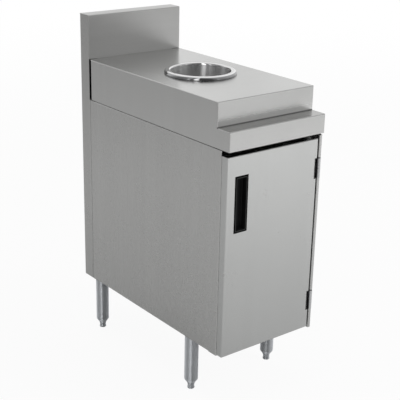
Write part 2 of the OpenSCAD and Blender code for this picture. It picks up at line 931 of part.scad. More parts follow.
// The thick strip inside the hinge edge of the door that the hinge screws bite into.
module door_hinge_strip() {
    color(zinc) difference() {
        block([x_door_right - body_t - strip_t, y_door + notch_d + 1, z_door_low + 20],
            [x_door_right - body_t, y_door_back - 2 * body_t - 0.3, z_door_top - 20]);
        for (z = hinge_z)
            door_screw_holes(z);
    }
}

// A block with round corners in the place of the handle, drawn in by a margin.
module handle_block(extra, y0, y1, margin) {
    x0 = x_left + handle_x + margin - extra;
    x1 = x_left + handle_x + handle_w - margin + extra;
    z1 = z_door_top - handle_z - margin + extra;
    z0 = z_door_top - handle_z - handle_h + margin - extra;
    along_y(y0, y1) round_rect([x0, z0], [x1, z1], handle_r);
}

// The recessed handle: a bezel on the face of the door and a cup behind it.
module handle_cup() {
    y_bezel = y_door - bezel_t;
    color(black_plastic) difference() {
        union() {
            handle_block(0, y_bezel, y_door, 0);
            handle_block(0, y_bezel + 0.2, y_door + recess_d + cup_t, bezel_w - cup_t);
        }
        handle_block(0, y_bezel - 1, y_door + recess_d, bezel_w);
    }
}

// The magnetic catch under the header: its case, its magnet and its two screws.
module catch_case() {
    z1 = z_header_low;
    z0 = z1 - catch_h;
    ear = (catch_w - magnet_w) / 2 - 3;
    color(dark_grey_plastic) difference() {
        block([catch_x, y_catch, z0], [catch_x + catch_w, y_catch + catch_d, z1]);
        block([catch_x - 1, y_catch - 1, z0 - 1], [catch_x + ear, y_catch + 5, z1 + 1]);
        block([catch_x + catch_w - ear, y_catch - 1, z0 - 1], [catch_x + catch_w + 1, y_catch + 5, z1 + 1]);
        block([catch_x - 1, y_catch - 1, z0 - 1], [catch_x + ear, y_catch + catch_d + 1, z1 - 4]);
        block([catch_x + catch_w - ear, y_catch - 1, z0 - 1],
            [catch_x + catch_w + 1, y_catch + catch_d + 1, z1 - 4]);
        magnet_block(0.1);
        catch_screw_holes();
    }
}

module magnet_block(extra) {
    x0 = catch_x + (catch_w - magnet_w) / 2;
    z0 = z_header_low - catch_h / 2;
    block([x0 - extra, y_catch - extra, z0 - 4 - extra], [x0 + magnet_w + extra, y_catch + 12, z0 + 4 + extra]);
}

module catch_magnet() {
    color(magnet_black) magnet_block(0);
}

module catch_screw_places() {
    for (x = [catch_x + 5, catch_x + catch_w - 5])
        translate([x, y_catch + 12, z_header_low]) children();
}

module catch_screw_holes() {
    catch_screw_places() bar(screw_r + hole_clear, -5, body_t + 1);
}

module catch_screws() {
    color(zinc) catch_screw_places() union() {
        bar(screw_r, -4.5, body_t + 2);
        bar(screw_r * 1.8, -4 - screw_r, -4);
    }
}

module strike_places() {
    for (x = [catch_x + catch_w / 2 - magnet_w / 2 + 6, catch_x + catch_w / 2 + magnet_w / 2 - 6])
        translate([x, 0, z_header_low - catch_h / 2]) children();
}

// The steel plate on the liner that the magnet holds, and its rivets.
module strike_plate() {
    x0 = catch_x + (catch_w - magnet_w) / 2;
    z0 = z_header_low - catch_h;
    y0 = y_door_back - body_t;
    color(zinc) difference() {
        block([x0, y0, z0], [x0 + magnet_w, y0 + strike_t, z0 + catch_h]);
        strike_places() bar_y(screw_r + hole_clear, y0 - 1, y0 + strike_t + 1);
    }
}

module strike_rivets() {
    y0 = y_door_back - body_t;
    color(zinc) strike_places() union() {
        bar_y(screw_r, y0 - liner_t - 0.5, y0 + strike_t - 0.1);
        bar_y(screw_r * 1.4, y0 - liner_t - 1.5, y0 - liner_t);
    }
}

// A quarter of an ellipse about [x, z], from just past its top out to its side.
function quarter(x, z, a, b) = [for (k = [1 : 8]) [x + a * sin(90 * k / 8), z + b * cos(90 * k / 8)]];

// The chute: a spun tube whose top is rolled out into a rim that rests on the worktop.
module chute() {
    x_crown = chute_r + rim_r;
    outer = quarter(x_crown, 0, rim_w - rim_r, rim_h);
    inner = quarter(x_crown, 0, rim_w - rim_r - chute_t, rim_h - chute_t);
    edge = [for (k = [0 : 5]) [x_crown - rim_r * cos(90 * k / 5), rim_h - rim_r + rim_r * sin(90 * k / 5)]];
    under_r = rim_r - chute_t;
    under = [for (k = [0 : 3])
        [x_crown - under_r * cos(90 * k / 3), rim_h - rim_r + under_r * sin(90 * k / 3)]];
    outline = concat([[chute_r, -chute_l]], edge, outer, backwards(inner), backwards(under),
        [[chute_r + chute_t, -chute_l]]);
    color(polished) translate([0, y_chute, worktop_z]) rotate_extrude($fn = 96) polygon(outline);
}

// A flat slab of the bin's plan, drawn in by a margin.
module bin_slab(z, margin) {
    w = bin_w / 2 - bin_rim_w - margin;
    d = bin_d / 2 - bin_rim_w - margin;
    r = bin_r - margin / 2;
    translate([bin_x, y_chute, z]) linear_extrude(0.5) round_rect([-w, -d], [w, d], r);
}

// The waste bin: a tapered tub with round corners and a rolled rim.
module waste_bin() {
    z0 = z_floor;
    z1 = z_bin_top;
    rim = [bin_w / 2, bin_d / 2];
    hole = rim - [1, 1] * (bin_rim_w + bin_t);
    color(dark_grey_plastic) difference() {
        union() {
            hull() {
                bin_slab(z0, bin_draft);
                bin_slab(z1 - 0.5, 0);
            }
            translate([bin_x, y_chute, z1 - bin_rim_h]) linear_extrude(bin_rim_h)
                round_rect(-rim, rim, bin_r + bin_rim_w);
        }
        hull() {
            bin_slab(z0 + bin_t, bin_draft + bin_t);
            bin_slab(z1, bin_t);
        }
        translate([bin_x, y_chute, z1 - bin_rim_h - 1]) linear_extrude(bin_rim_h + 2)
            round_rect(-hole, hole, bin_r - bin_t);
        translate([bin_x, y_chute, z1 - bin_rim_h - 1]) linear_extrude(bin_rim_h - bin_t + 1) difference() {
            round_rect(-rim + [1, 1] * 2, rim - [1, 1] * 2, bin_r + bin_rim_w - 2);
            round_rect(-hole - [1, 1] * bin_t, hole + [1, 1] * bin_t, bin_r);
        }
    }
}

worktop();
worktop_end_left();
worktop_end_right();
worktop_brace_front();
worktop_brace_rear();
backsplash();
rear_casing();
left_side_panel();
right_side_panel();
jamb_strip();
front_header();
front_sill();
floor_pan();
leg_channel_front();
leg_channel_rear();
worktop_bolts();
worktop_nuts();
casing_rivets();
leg_socket_front_left();
leg_socket_front_right();
leg_socket_back_left();
leg_socket_back_right();
leg_socket_bolts();
leg_front_left();
leg_front_right();
leg_back_left();
leg_back_right();
upper_hinge_frame_leaf();
lower_hinge_frame_leaf();
upper_hinge_pin();
lower_hinge_pin();
frame_hinge_screws();
catch_case();
catch_magnet();
catch_screws();
door_skin();
door_liner();
door_stiffener();
door_hinge_strip();
handle_cup();
upper_hinge_door_leaf();
lower_hinge_door_leaf();
door_hinge_screws();
strike_plate();
strike_rivets();
foot_front_left();
foot_front_right();
foot_back_left();
foot_back_right();
chute();
waste_bin();
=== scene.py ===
# %% [markdown]
# # An underbar trash cabinet in brushed stainless steel
# The cabinet stands in a row of units under a bar. Rubbish drops through the round chute in its
# worktop into a bin, which is taken out through the hinged door. Nearly everything that shows is
# sheet steel, so the lesson is about three things: folded edges that catch the light, a brushed
# grain that follows each sheet, and a studio that the steel can reflect.
#
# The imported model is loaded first. It fixes every size and place: a piece is measured from the
# node that it dresses, and lies in the same frame, in metres, with the door towards -Y.
# %% Load the frame
import math

import bmesh
import bpy
import numpy as np
from mathutils import Matrix, Vector


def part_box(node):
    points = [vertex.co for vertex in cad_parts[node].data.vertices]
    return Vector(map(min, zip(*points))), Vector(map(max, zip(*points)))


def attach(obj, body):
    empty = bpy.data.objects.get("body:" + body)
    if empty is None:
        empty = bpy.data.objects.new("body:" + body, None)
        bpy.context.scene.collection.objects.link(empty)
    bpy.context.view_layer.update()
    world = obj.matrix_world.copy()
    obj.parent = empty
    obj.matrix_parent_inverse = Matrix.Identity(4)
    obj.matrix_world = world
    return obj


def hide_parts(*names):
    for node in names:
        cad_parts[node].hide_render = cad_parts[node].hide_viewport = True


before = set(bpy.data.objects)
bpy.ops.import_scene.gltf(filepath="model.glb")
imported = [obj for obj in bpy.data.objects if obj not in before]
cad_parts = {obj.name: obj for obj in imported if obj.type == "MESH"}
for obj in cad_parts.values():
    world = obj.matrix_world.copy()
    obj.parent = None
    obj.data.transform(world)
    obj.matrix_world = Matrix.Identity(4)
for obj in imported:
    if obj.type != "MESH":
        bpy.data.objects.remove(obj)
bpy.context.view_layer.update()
scene = bpy.context.scene
MM = 0.001

# %% [markdown]
# ## The camera
# The view is that of a person who stands a little to the left of the cabinet and looks down on it.
# The place and the turn of the camera were worked out from the straight edges of the sheets, whose
# real lengths are known. A long lens keeps the verticals nearly parallel, and a slight roll of one
# degree is kept, because every upright edge leans by it.
# %% Camera
CAMERA_PLACE = Vector((-1.5275, -1.9614, 1.3584))
AZIMUTH = -38.28
ELEVATION = 20.03
ROLL = 1.23
SENSOR = 36.0
PICTURE = 400
FOCAL_PIXELS = 973.25


def camera_turn(azimuth, elevation, roll):
    """The camera's rotation: azimuth 0 looks along +Y, elevation is above the horizon, in degrees.

    back points from the object to the camera, and the picture's right and up are turned by roll."""
    a, e, r = (math.radians(angle) for angle in (azimuth, elevation, roll))
    back = Vector((math.sin(a) * math.cos(e), -math.cos(a) * math.cos(e), math.sin(e)))
    right = Vector((0, 0, 1)).cross(back).normalized()
    up = back.cross(right)
    rolled_right = right * math.cos(r) + up * math.sin(r)
    rolled_up = up * math.cos(r) - right * math.sin(r)
    return Matrix((rolled_right, rolled_up, back)).transposed()


camera = bpy.data.objects.new("camera", bpy.data.cameras.new("camera"))
scene.collection.objects.link(camera)
camera.matrix_world = camera_turn(AZIMUTH, ELEVATION, ROLL).to_4x4()
camera.location = CAMERA_PLACE
camera.data.sensor_width = SENSOR
camera.data.lens = FOCAL_PIXELS / PICTURE * SENSOR
camera.data.clip_start = 0.05
camera.data.clip_end = 100
scene.camera = camera
scene.view_settings.view_transform = "Standard"
print("lens", round(camera.data.lens, 1), "mm")

# %% [markdown]
# ## Points into meshes
# A turned or moulded shape is a function of two parameters, so it is worked out as a whole grid of
# points at once, and only then handed to Blender. A folded sheet is a handful of flat faces, and
# the roundness of its folds comes from a bevel. The helpers below make meshes from such data.
# %% Mesh helpers
SAME_POINT = 0.001 * MM


def clean(mesh, smooth):
    """Merges equal points, turns the faces outwards and marks edges sharper than smooth degrees."""
    work = bmesh.new()
    work.from_mesh(mesh)
    bmesh.ops.remove_doubles(work, verts=work.verts, dist=SAME_POINT)
    bmesh.ops.recalc_face_normals(work, faces=work.faces)
    work.to_mesh(mesh)
    work.free()
    mesh.shade_smooth()
    mesh.set_sharp_from_angle(angle=math.radians(smooth))


def add_object(name, points, faces):
    """A new mesh object at the origin, from a list of points and faces of indices."""
    mesh = bpy.data.meshes.new(name)
    mesh.from_pydata(np.asarray(points).tolist(), [], [list(map(int, face)) for face in faces])
    made = bpy.data.objects.new(name, mesh)
    scene.collection.objects.link(made)
    return made


def grid_faces(grid, around, along):
    """The quads between neighbouring points of grid[i, j].

    around joins the last column to the first, and along joins the last row to the first."""
    index = np.arange(grid.shape[0] * grid.shape[1]).reshape(grid.shape[:2])
    if around:
        index = np.hstack([index, index[:, :1]])
    if along:
        index = np.vstack([index, index[:1]])
    corners = [index[:-1, :-1], index[:-1, 1:], index[1:, 1:], index[1:, :-1]]
    return np.stack(corners, axis=-1).reshape(-1, 4).tolist()


def surface(name, grid, smooth, around=True, along=False, caps=False):
    """A mesh object from a grid of points. caps closes the first and the last row with a face."""
    faces = grid_faces(grid, around, along)
    if caps:
        last = grid.shape[0] * grid.shape[1]
        faces += [range(grid.shape[1]), range(last - grid.shape[1], last)]
    made = add_object(name, grid.reshape(-1, 3), faces)
    clean(made.data, smooth)
    return made


# %% [markdown]
# Two kinds of outline come back again and again: a profile whose corners are rounded by arcs, and a
# rounded rectangle. A lathe spins the first about an upright axis. Rings of the second, stacked with
# different insets, make a handle or a bin. A profile's small steps are written in millimetres from
# a place that is known, as on a workshop drawing.
# %% Outlines, lathe and rings


def beside(start, *steps):
    """The points that lie at these steps, in millimetres, from a start in metres."""
    return np.asarray(start, float) + MM * np.asarray(steps, float)


def rounded(points, radii, steps=6):
    """A polyline with arcs at its corners, as an array of points.

    An arc of radius r touches both sides at r / tan(half the corner's angle) from the corner. Its
    points turn evenly from the first touching point to the second about the arc's centre."""
    points = np.asarray(points, float)
    made = [points[:1]]
    for before, corner, after, radius in zip(points, points[1:], points[2:], radii):
        u = (before - corner) / np.linalg.norm(before - corner)
        v = (after - corner) / np.linalg.norm(after - corner)
        half = math.acos(np.clip(u @ v, -1, 1)) / 2
        centre = corner + (u + v) / np.linalg.norm(u + v) * radius / math.sin(half)
        start = corner + u * radius / math.tan(half) - centre
        end = corner + v * radius / math.tan(half) - centre
        turn = math.pi - 2 * half
        s = np.linspace(0, 1, steps + 1)[:, None]
        arc = (np.sin((1 - s) * turn) * start + np.sin(s * turn) * end) / math.sin(turn)
        made.append(centre + arc)
    made.append(points[-1:])
    return np.vstack(made)


def lathe(name, profile, centre, turns, smooth, closed=False):
    """Spins a profile about an upright axis: (r, z) goes to (cx + r cos t, cy + r sin t, z)."""
    t = np.linspace(0, 2 * math.pi, turns, endpoint=False)
    r, z = np.asarray(profile).T
    x = centre[0] + np.outer(r, np.cos(t))
    y = centre[1] + np.outer(r, np.sin(t))
    grid = np.stack([x, y, np.repeat(z[:, None], turns, axis=1)], axis=-1)
    return surface(name, grid, smooth, along=closed)


def round_rectangle(half_width, half_height, radius, per_corner):
    """A rounded rectangle about the origin, anticlockwise: four quarter circles of one radius."""
    quarter = np.linspace(0, math.pi / 2, per_corner)
    angle = quarter[None, :] + np.arange(4)[:, None] * math.pi / 2
    side = np.array([[1, 1], [-1, 1], [-1, -1], [1, -1]])[:, None, :]
    middle = side * np.array([half_width - radius, half_height - radius])
    return (middle + radius * np.stack([np.cos(angle), np.sin(angle)], axis=-1)).reshape(-1, 2)


def ring_grid(rows, middle, size, axis, per_corner):
    """Rings across an axis: each row is (inset from the outline, place on the axis, corner radius)."""
    grid = np.empty((len(rows), 4 * per_corner, 3))
    sides = [i for i in range(3) if i != axis]
    for ring, (inset, level, radius) in zip(grid, rows):
        outline = round_rectangle(*(size[i] - inset for i in sides), radius, per_corner)
        ring[:, sides] = outline + [middle[i] for i in sides]
        ring[:, axis] = level
    return grid


# %% [markdown]
# ## Dressing a sheet
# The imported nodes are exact, but their cut edges are knife-sharp, and real sheet edges are broken
# with a file. A dressed piece is a copy of a node: its loose triangles are merged, flat regions
# become single faces, and a small bevel rounds what is left. A weighted normal keeps the big faces
# flat, because otherwise their shading would bend towards the bevels. Where a piece has more than
# one finish, the centre of each face says which one it gets.
# %% Dressed copies
BROKEN_EDGE = 0.22 * MM
SHARP = math.radians(30)
FLAT = 0.004


def edge_stack(piece, width, segments, thickness=0.0):
    """Adds a bevel on edges over 30 degrees, a wall if there is a thickness, and weighted normals."""
    bevel = piece.modifiers.new("broken_edges", "BEVEL")
    bevel.width = width
    bevel.segments = segments
    bevel.limit_method = "ANGLE"
    bevel.angle_limit = SHARP
    if thickness:
        wall = piece.modifiers.new("sheet_thickness", "SOLIDIFY")
        wall.thickness = thickness
        wall.offset = -1
        wall.use_even_offset = True
    normals = piece.modifiers.new("flat_faces", "WEIGHTED_NORMAL")
    normals.keep_sharp = True


def dressed_copy(node, width=BROKEN_EDGE, segments=2):
    """A copy of a node's mesh with merged points, flat faces in one piece and broken edges."""
    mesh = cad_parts[node].data.copy()
    mesh.name = node + "_dressed"
    work = bmesh.new()
    work.from_mesh(mesh)
    bmesh.ops.remove_doubles(work, verts=work.verts, dist=2 * SAME_POINT)
    bmesh.ops.dissolve_limit(work, angle_limit=FLAT, verts=work.verts, edges=work.edges)
    work.to_mesh(mesh)
    work.free()
    mesh.materials.clear()
    mesh.shade_smooth()
    mesh.set_sharp_from_angle(angle=SHARP)
    made = bpy.data.objects.new(node + "_dressed", mesh)
    scene.collection.objects.link(made)
    edge_stack(made, width, segments)
    return made


def finish_piece(piece, body, slot, material, *replaced):
    """Gives a new piece its material and body, and hides the nodes that it stands for. slot is not used."""
    piece.data.materials.clear()
    piece.data.materials.append(material)
    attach(piece, body)
    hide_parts(*replaced)
    return piece


def face_centres(piece):
    """The centres of a piece's faces, one row of x, y and z for each."""
    centres = np.zeros(len(piece.data.polygons) * 3, np.float32)
    piece.data.polygons.foreach_get("center", centres)
    return centres.reshape(-1, 3)


def paint_faces(piece, numbers, *materials):
    """Adds materials after a piece's first one, and gives each face the one with its number."""
    for material in materials:
        piece.data.materials.append(material)
    piece.data.polygons.foreach_set("material_index", np.asarray(numbers, np.int32))


# %% [markdown]
# ## Shader helpers
# A material is a small circuit. The helpers add one node at a time: what is a socket gets linked,
# and what is a number or a colour gets set. An effect that several finishes share is a node group
# with named inputs and outputs, built once.
# %% Shader helpers
# The numbers of a Mix node's two inputs and of its result, for colours and for vectors.
MIX_SOCKETS = {"RGBA": (6, 7, 2), "VECTOR": (4, 5, 1)}


def feed(tree, node, inputs):
    """Fills a node's inputs, by name or number: a socket gets linked, and a value gets set."""
    for key, value in inputs.items():
        if isinstance(value, bpy.types.NodeSocket):
            tree.links.new(value, node.inputs[key])
        else:
            node.inputs[key].default_value = value


def add(tree, kind, inputs=None, **settings):
    """Adds a node of this kind, with its settings and its inputs."""
    made = tree.nodes.new("ShaderNode" + kind)
    for name, value in settings.items():
        setattr(made, name, value)
    feed(tree, made, inputs or {})
    return made


def calculate(tree, operation, *values):
    """One Math node, and its result."""
    return add(tree, "Math", dict(enumerate(values)), operation=operation).outputs[0]


def vectors(tree, operation, *values):
    """One Vector Math node. A length or a dot product comes as a number, the rest as a vector."""
    made = add(tree, "VectorMath", dict(enumerate(values)), operation=operation)
    return made.outputs["Value" if operation in ("LENGTH", "DOT_PRODUCT") else "Vector"]


def part(tree, vector, axis):
    """A vector's part along an axis, 0 for X to 2 for Z."""
    return add(tree, "SeparateXYZ", {0: vector}).outputs[axis]


def ramp(tree, value, low, high, start=0.0, end=1.0):
    """A smooth step of a value: low and below gives start, high and above gives end."""
    inputs = {"Value": value, "From Min": low, "From Max": high, "To Min": start, "To Max": end}
    return add(tree, "MapRange", inputs, interpolation_type="SMOOTHSTEP").outputs[0]


def noise(tree, place, scale, detail=2.0, roughness=0.5, distortion=0.0):
    """A noise between 0 and 1, with scale cells to the metre."""
    inputs = {"Vector": place, "Scale": scale, "Detail": detail, "Roughness": roughness,
              "Distortion": distortion}
    return add(tree, "TexNoise", inputs).outputs["Fac"]


def mix(tree, factor, first, second, kind="RGBA"):
    """A Mix node's result: the first colour where the factor is 0, and the second where it is 1."""
    first_input, second_input, result = MIX_SOCKETS[kind]
    ends = [end if isinstance(end, bpy.types.NodeSocket) else (*end, 1.0) for end in (first, second)]
    inputs = {"Factor": factor, first_input: ends[0], second_input: ends[1]}
    return add(tree, "Mix", inputs, data_type=kind).outputs[result]


def varied(tree, factor, colour, low, high):
    """A colour that goes from low times itself to high times itself."""
    return mix(tree, factor, [low * c for c in colour], [high * c for c in colour])


def veil(tree, mask, cover, below, colour):
    """Lays a colour over what is below. Where the mask is 1, it covers by this share."""
    return mix(tree, calculate(tree, "MULTIPLY", mask, cover), below, colour)


def new_group(name, numbers, outputs):
    """A shader node group that takes a Place and some numbers, and puts out numbers."""
    tree = bpy.data.node_groups.new(name, "ShaderNodeTree")
    tree.interface.new_socket(name="Place", in_out="INPUT", socket_type="NodeSocketVector")
    for label, value in numbers.items():
        made = tree.interface.new_socket(name=label, in_out="INPUT", socket_type="NodeSocketFloat")
        made.default_value = value
    for label in outputs:
        tree.interface.new_socket(name=label, in_out="OUTPUT", socket_type="NodeSocketFloat")
    return tree, tree.nodes.new("NodeGroupInput").outputs, tree.nodes.new("NodeGroupOutput")


def place_group(tree, group, inputs):
    """Puts a node group into a material and returns its outputs."""
    return add(tree, "Group", inputs, node_tree=group).outputs


# %% [markdown]
# ### Group: brushed grain
# A belt sander leaves thousands of fine parallel lines, a few centimetres long and a fraction of a
# millimetre wide, in soft bands where the belt pressed more or less. Noise that is stretched along
# the brushing direction gives both. The stretching is done before the group, by the material's own
# Mapping node, because each sheet was brushed its own way.
# %% Group brushed_grain
DEEP_LINES = 0.21
grain, grain_in, grain_out = new_group(
    "brushed_grain", {"Lines": 1500.0, "Bands": 60.0}, ("Lines", "Bands", "Scratches"))
deep_scale = calculate(grain, "MULTIPLY", grain_in["Lines"], DEEP_LINES)
deep_lines = noise(grain, grain_in["Place"], deep_scale, 1)
feed(grain, grain_out, {"Lines": noise(grain, grain_in["Place"], grain_in["Lines"], 3, 0.65),
                        "Bands": noise(grain, grain_in["Place"], grain_in["Bands"], 3, 0.6),
                        "Scratches": ramp(grain, deep_lines, 0.66, 0.74)})
print("group", grain.name, "with", len(grain.nodes), "nodes")

# %% [markdown]
# ### Group: handling marks
# Steel that people touch has hazy wipes and finger smears, with clean metal between. Two noises
# multiplied give patches with soft, torn outlines. The haze makes the metal a little rougher and
# duller there.
# %% Group handling_marks
WISPS = 6.0
marks, marks_in, marks_out = new_group("handling_marks", {"Size": 9.0}, ("Haze",))
patches = ramp(marks, noise(marks, marks_in["Place"], marks_in["Size"], 4, 0.55, 0.4), 0.42, 0.72)
wisps_scale = calculate(marks, "MULTIPLY", marks_in["Size"], WISPS)
wisps = ramp(marks, noise(marks, marks_in["Place"], wisps_scale, 3, 0.6, 1.2), 0.35, 0.7)
feed(marks, marks_out, {"Haze": calculate(marks, "MULTIPLY", patches, wisps)})
print("group", marks.name, "with", len(marks.nodes), "nodes")

# %% [markdown]
# ### Group: sheet waves
# No folded sheet is quite flat. Between its folds it bulges by a few hundredths of a millimetre, and
# a mirror or a brushed surface shows that at once as a slow swing of light and dark. The group gives
# that bulge as a height from 0 to about 1, in long soft waves.
# %% Group sheet_waves
QUICK_WAVES = 3.1
QUICK_SHARE = 0.18
waves, waves_in, waves_out = new_group("sheet_waves", {"Waves": 3.5}, ("Height",))
slow = noise(waves, waves_in["Place"], waves_in["Waves"], 1, 0.4)
quick_scale = calculate(waves, "MULTIPLY", waves_in["Waves"], QUICK_WAVES)
quick = noise(waves, waves_in["Place"], quick_scale, 0)
feed(waves, waves_out, {"Height": calculate(waves, "MULTIPLY_ADD", quick, QUICK_SHARE, slow)})
print("group", waves.name, "with", len(waves.nodes), "nodes")

# %% [markdown]
# ### Group: edge wear
# Edges are rubbed first: metal gets brighter and plastic gets paler there. The Bevel node gives the
# normal that a rounded edge would have, and where it differs from the true normal an edge is near.
# A noise breaks the line up, because wear is never even.
# %% Group edge_wear
PATCHES = 160.0
wear, wear_in, wear_out = new_group("edge_wear", {"Reach": 1.2 * MM}, ("Mask",))
soft_normal = add(wear, "Bevel", {"Radius": wear_in["Reach"]}, samples=4).outputs[0]
true_normal = add(wear, "NewGeometry").outputs["Normal"]
near_edge = ramp(wear, vectors(wear, "DOT_PRODUCT", soft_normal, true_normal), 0.985, 0.86)
patchy = ramp(wear, noise(wear, wear_in["Place"], PATCHES, 3), 0.3, 0.62, 0.25, 1.0)
feed(wear, wear_out, {"Mask": calculate(wear, "MULTIPLY", near_edge, patchy)})
print("group", wear.name, "with", len(wear.nodes), "nodes")

# %% [markdown]
# ### Group: moulded grain
# Plastic housings come out of a spark-eroded mould with a fine pebbled skin. Cells of a Voronoi
# texture, softened by noise, give the pebbles: the height falls with the distance from the middle of
# a cell. A slow cloud goes with it, for the colour.
# %% Group moulded_grain
VALLEYS = -0.7
CLOUDS = 22.0
pebbles, pebbles_in, pebbles_out = new_group(
    "moulded_grain", {"Pebbles": 1400.0}, ("Height", "Cloud"))
cells = add(pebbles, "TexVoronoi", {"Vector": pebbles_in["Place"], "Scale": pebbles_in["Pebbles"]},
            feature="SMOOTH_F1").outputs["Distance"]
crumbs = noise(pebbles, pebbles_in["Place"], pebbles_in["Pebbles"], 2)
feed(pebbles, pebbles_out, {"Height": calculate(pebbles, "MULTIPLY_ADD", cells, VALLEYS, crumbs),
                            "Cloud": noise(pebbles, pebbles_in["Place"], CLOUDS, 4, 0.6)})
print("group", pebbles.name, "with", len(pebbles.nodes), "nodes")

# %% [markdown]
# ## Finishes
# Every finish here follows one plan: a base colour that varies a little, a roughness that follows
# the grain and the handling marks, and one bump whose height is written in real metres. Metals keep
# Metallic at 1, so their look comes from what they reflect.
# %% Materials: a start for all


def new_material(name, metallic):
    """A node material: its tree, its Principled shader and the coordinates of its patterns."""
    made = bpy.data.materials.new(name)
    made.use_nodes = True
    tree = made.node_tree
    shader = tree.nodes["Principled BSDF"]
    shader.inputs["Metallic"].default_value = metallic
    return made, tree, shader, add(tree, "TexCoord").outputs


def stretched(tree, place, scale, offset=(0, 0, 0)):
    """The place after a Mapping node, which stretches and shifts a pattern."""
    return add(tree, "Mapping", {"Vector": place, "Scale": scale, "Location": offset}).outputs[0]


def along(axis, stretch):
    """The scale of a pattern that is stretched along one axis only."""
    return [stretch if i == axis else 1.0 for i in range(3)]


def relief(tree, shader, *layers):
    """Adds (height, depth in metres) layers and feeds them to the shader's normal as one bump."""
    total = 0.0
    for height, depth in layers:
        total = calculate(tree, "MULTIPLY_ADD", height, depth, total)
    bump = add(tree, "Bump", {"Height": total, "Distance": 1.0, "Strength": 1.0})
    feed(tree, shader, {"Normal": bump.outputs["Normal"]})


def scatter_across(tree, shader, lines, strength):
    """Spreads reflections across the grain: along lines x normal, which lies in the surface."""
    normal = add(tree, "NewGeometry").outputs["Normal"]
    sideways = vectors(tree, "CROSS_PRODUCT", lines, normal)
    feed(tree, shader, {"Tangent": sideways, "Anisotropic": strength})


# %% [markdown]
# ### Brushed sheet
# The outer sheets are brushed in one direction. On the sides, the door and the column the lines run
# upright. The backsplash and the worktop are brushed across, from side to side, and over the folds
# in front. Only the worktop's welded ends were brushed upright, so that material looks at the
# normal and picks the upright lines where a face looks sideways. The edge wear must reach less far
# than a sheet is thick, or the Bevel node finds the sheet's own back and speckles the whole face.
# %% Material brushed sheet
LONG_LINES = 1 / 70
THIN_REACH = 0.5 * MM
ACROSS_GRAIN = 0.8
TILT = (0.03, 0.01, 0.02)
SIDEWAYS = 0.7
STEEL = (0.6, 0.6, 0.592)
WORKTOP_STEEL = (0.62, 0.621, 0.613)
DOOR_STEEL = (0.608, 0.614, 0.607)
COLUMN_STEEL = (0.57, 0.57, 0.563)
DULL_STEEL = (0.54, 0.54, 0.532)
RUBBED_STEEL = (0.72, 0.72, 0.715)
TONES = 0.015
HAZE_COVER = 0.12
EDGE_COVER = 0.5
LINES_ROUGHNESS = 0.05
HAZE_ROUGHNESS = 0.03


def folded_lines(tree, place, offset):
    """Lines across, but upright on faces that look sideways: their place and their direction."""
    across, upright = (stretched(tree, place["Object"], along(axis, LONG_LINES), offset) for axis in (0, 2))
    normal = calculate(tree, "ABSOLUTE", part(tree, place["Normal"], 0))
    sideways = calculate(tree, "GREATER_THAN", normal, SIDEWAYS)
    lines = add(tree, "CombineXYZ", {0: calculate(tree, "SUBTRACT", 1.0, sideways), 2: sideways})
    return mix(tree, sideways, across, upright, "VECTOR"), lines.outputs[0]


def brushed_sheet(name, direction, roughness, offset=(0, 0, 0), colour=STEEL, wave_depth=0.35 * MM):
    """Brushed steel. direction is the axis of the lines, 0 for X to 2 for Z, or None for folded.

    On a face that looks right along its lines they have no direction, so they are tilted a little."""
    made, tree, shader, place = new_material(name, 1.0)
    if direction is None:
        lines_place, lines = folded_lines(tree, place, offset)
    else:
        lines_place = stretched(tree, place["Object"], along(direction, LONG_LINES), offset)
        lines = Vector(TILT)
        lines[direction] = 1
    scatter_across(tree, shader, lines, ACROSS_GRAIN)
    brush = place_group(tree, grain, {"Place": lines_place})
    shifted = stretched(tree, place["Object"], (1, 1, 1), offset)
    touch = place_group(tree, marks, {"Place": shifted})
    bulge = place_group(tree, waves, {"Place": shifted})
    edge = place_group(tree, wear, {"Place": place["Object"], "Reach": THIN_REACH})["Mask"]
    bands = calculate(tree, "MULTIPLY", brush["Bands"], 0.9)
    tone = ramp(tree, calculate(tree, "MULTIPLY_ADD", brush["Lines"], 0.5, bands), 0.45, 0.95)
    base = varied(tree, tone, colour, 1 - TONES, 1 + TONES)
    dulled = veil(tree, touch["Haze"], HAZE_COVER, base, DULL_STEEL)
    least = roughness - LINES_ROUGHNESS / 2
    spread = calculate(tree, "MULTIPLY_ADD", brush["Lines"], LINES_ROUGHNESS, least)
    spread = calculate(tree, "MULTIPLY_ADD", touch["Haze"], HAZE_ROUGHNESS, spread)
    feed(tree, shader, {"Base Color": veil(tree, edge, EDGE_COVER, dulled, RUBBED_STEEL),
                        "Roughness": spread})
    relief(tree, shader, (brush["Lines"], 0.006 * MM), (brush["Scratches"], -0.004 * MM),
           (bulge["Height"], wave_depth))
    return made


upright_steel = brushed_sheet("steel_brushed_upright", 2, 0.27)
door_steel = brushed_sheet("steel_brushed_door", 2, 0.25, (3.1, 1.7, 0.4), DOOR_STEEL)
column_steel = brushed_sheet("steel_brushed_column", 2, 0.26, (7.3, 2.9, 1.1), COLUMN_STEEL)
splash_steel = brushed_sheet("steel_brushed_backsplash", 0, 0.33, (2.7, 6.1, 3.9))
worktop_steel = brushed_sheet("steel_brushed_worktop", None, 0.22, (5.2, 4.4, 2.3),
                              WORKTOP_STEEL, 0.15 * MM)
print("brushed sheets:", [m.name for m in bpy.data.materials if "brushed" in m.name])

# %% [markdown]
# ### Dull inner sheet
# Inside, nobody pays for brushing. The sheet keeps the cold-rolled mill finish: darker, cloudy, with
# faint rolling lines along the coil and a few scuffs from assembly.
# %% Material mill sheet
ROLLING_LINES = 1 / 25
MILL_STEEL = (0.47, 0.475, 0.475)
SCUFFED_STEEL = (0.58, 0.58, 0.58)


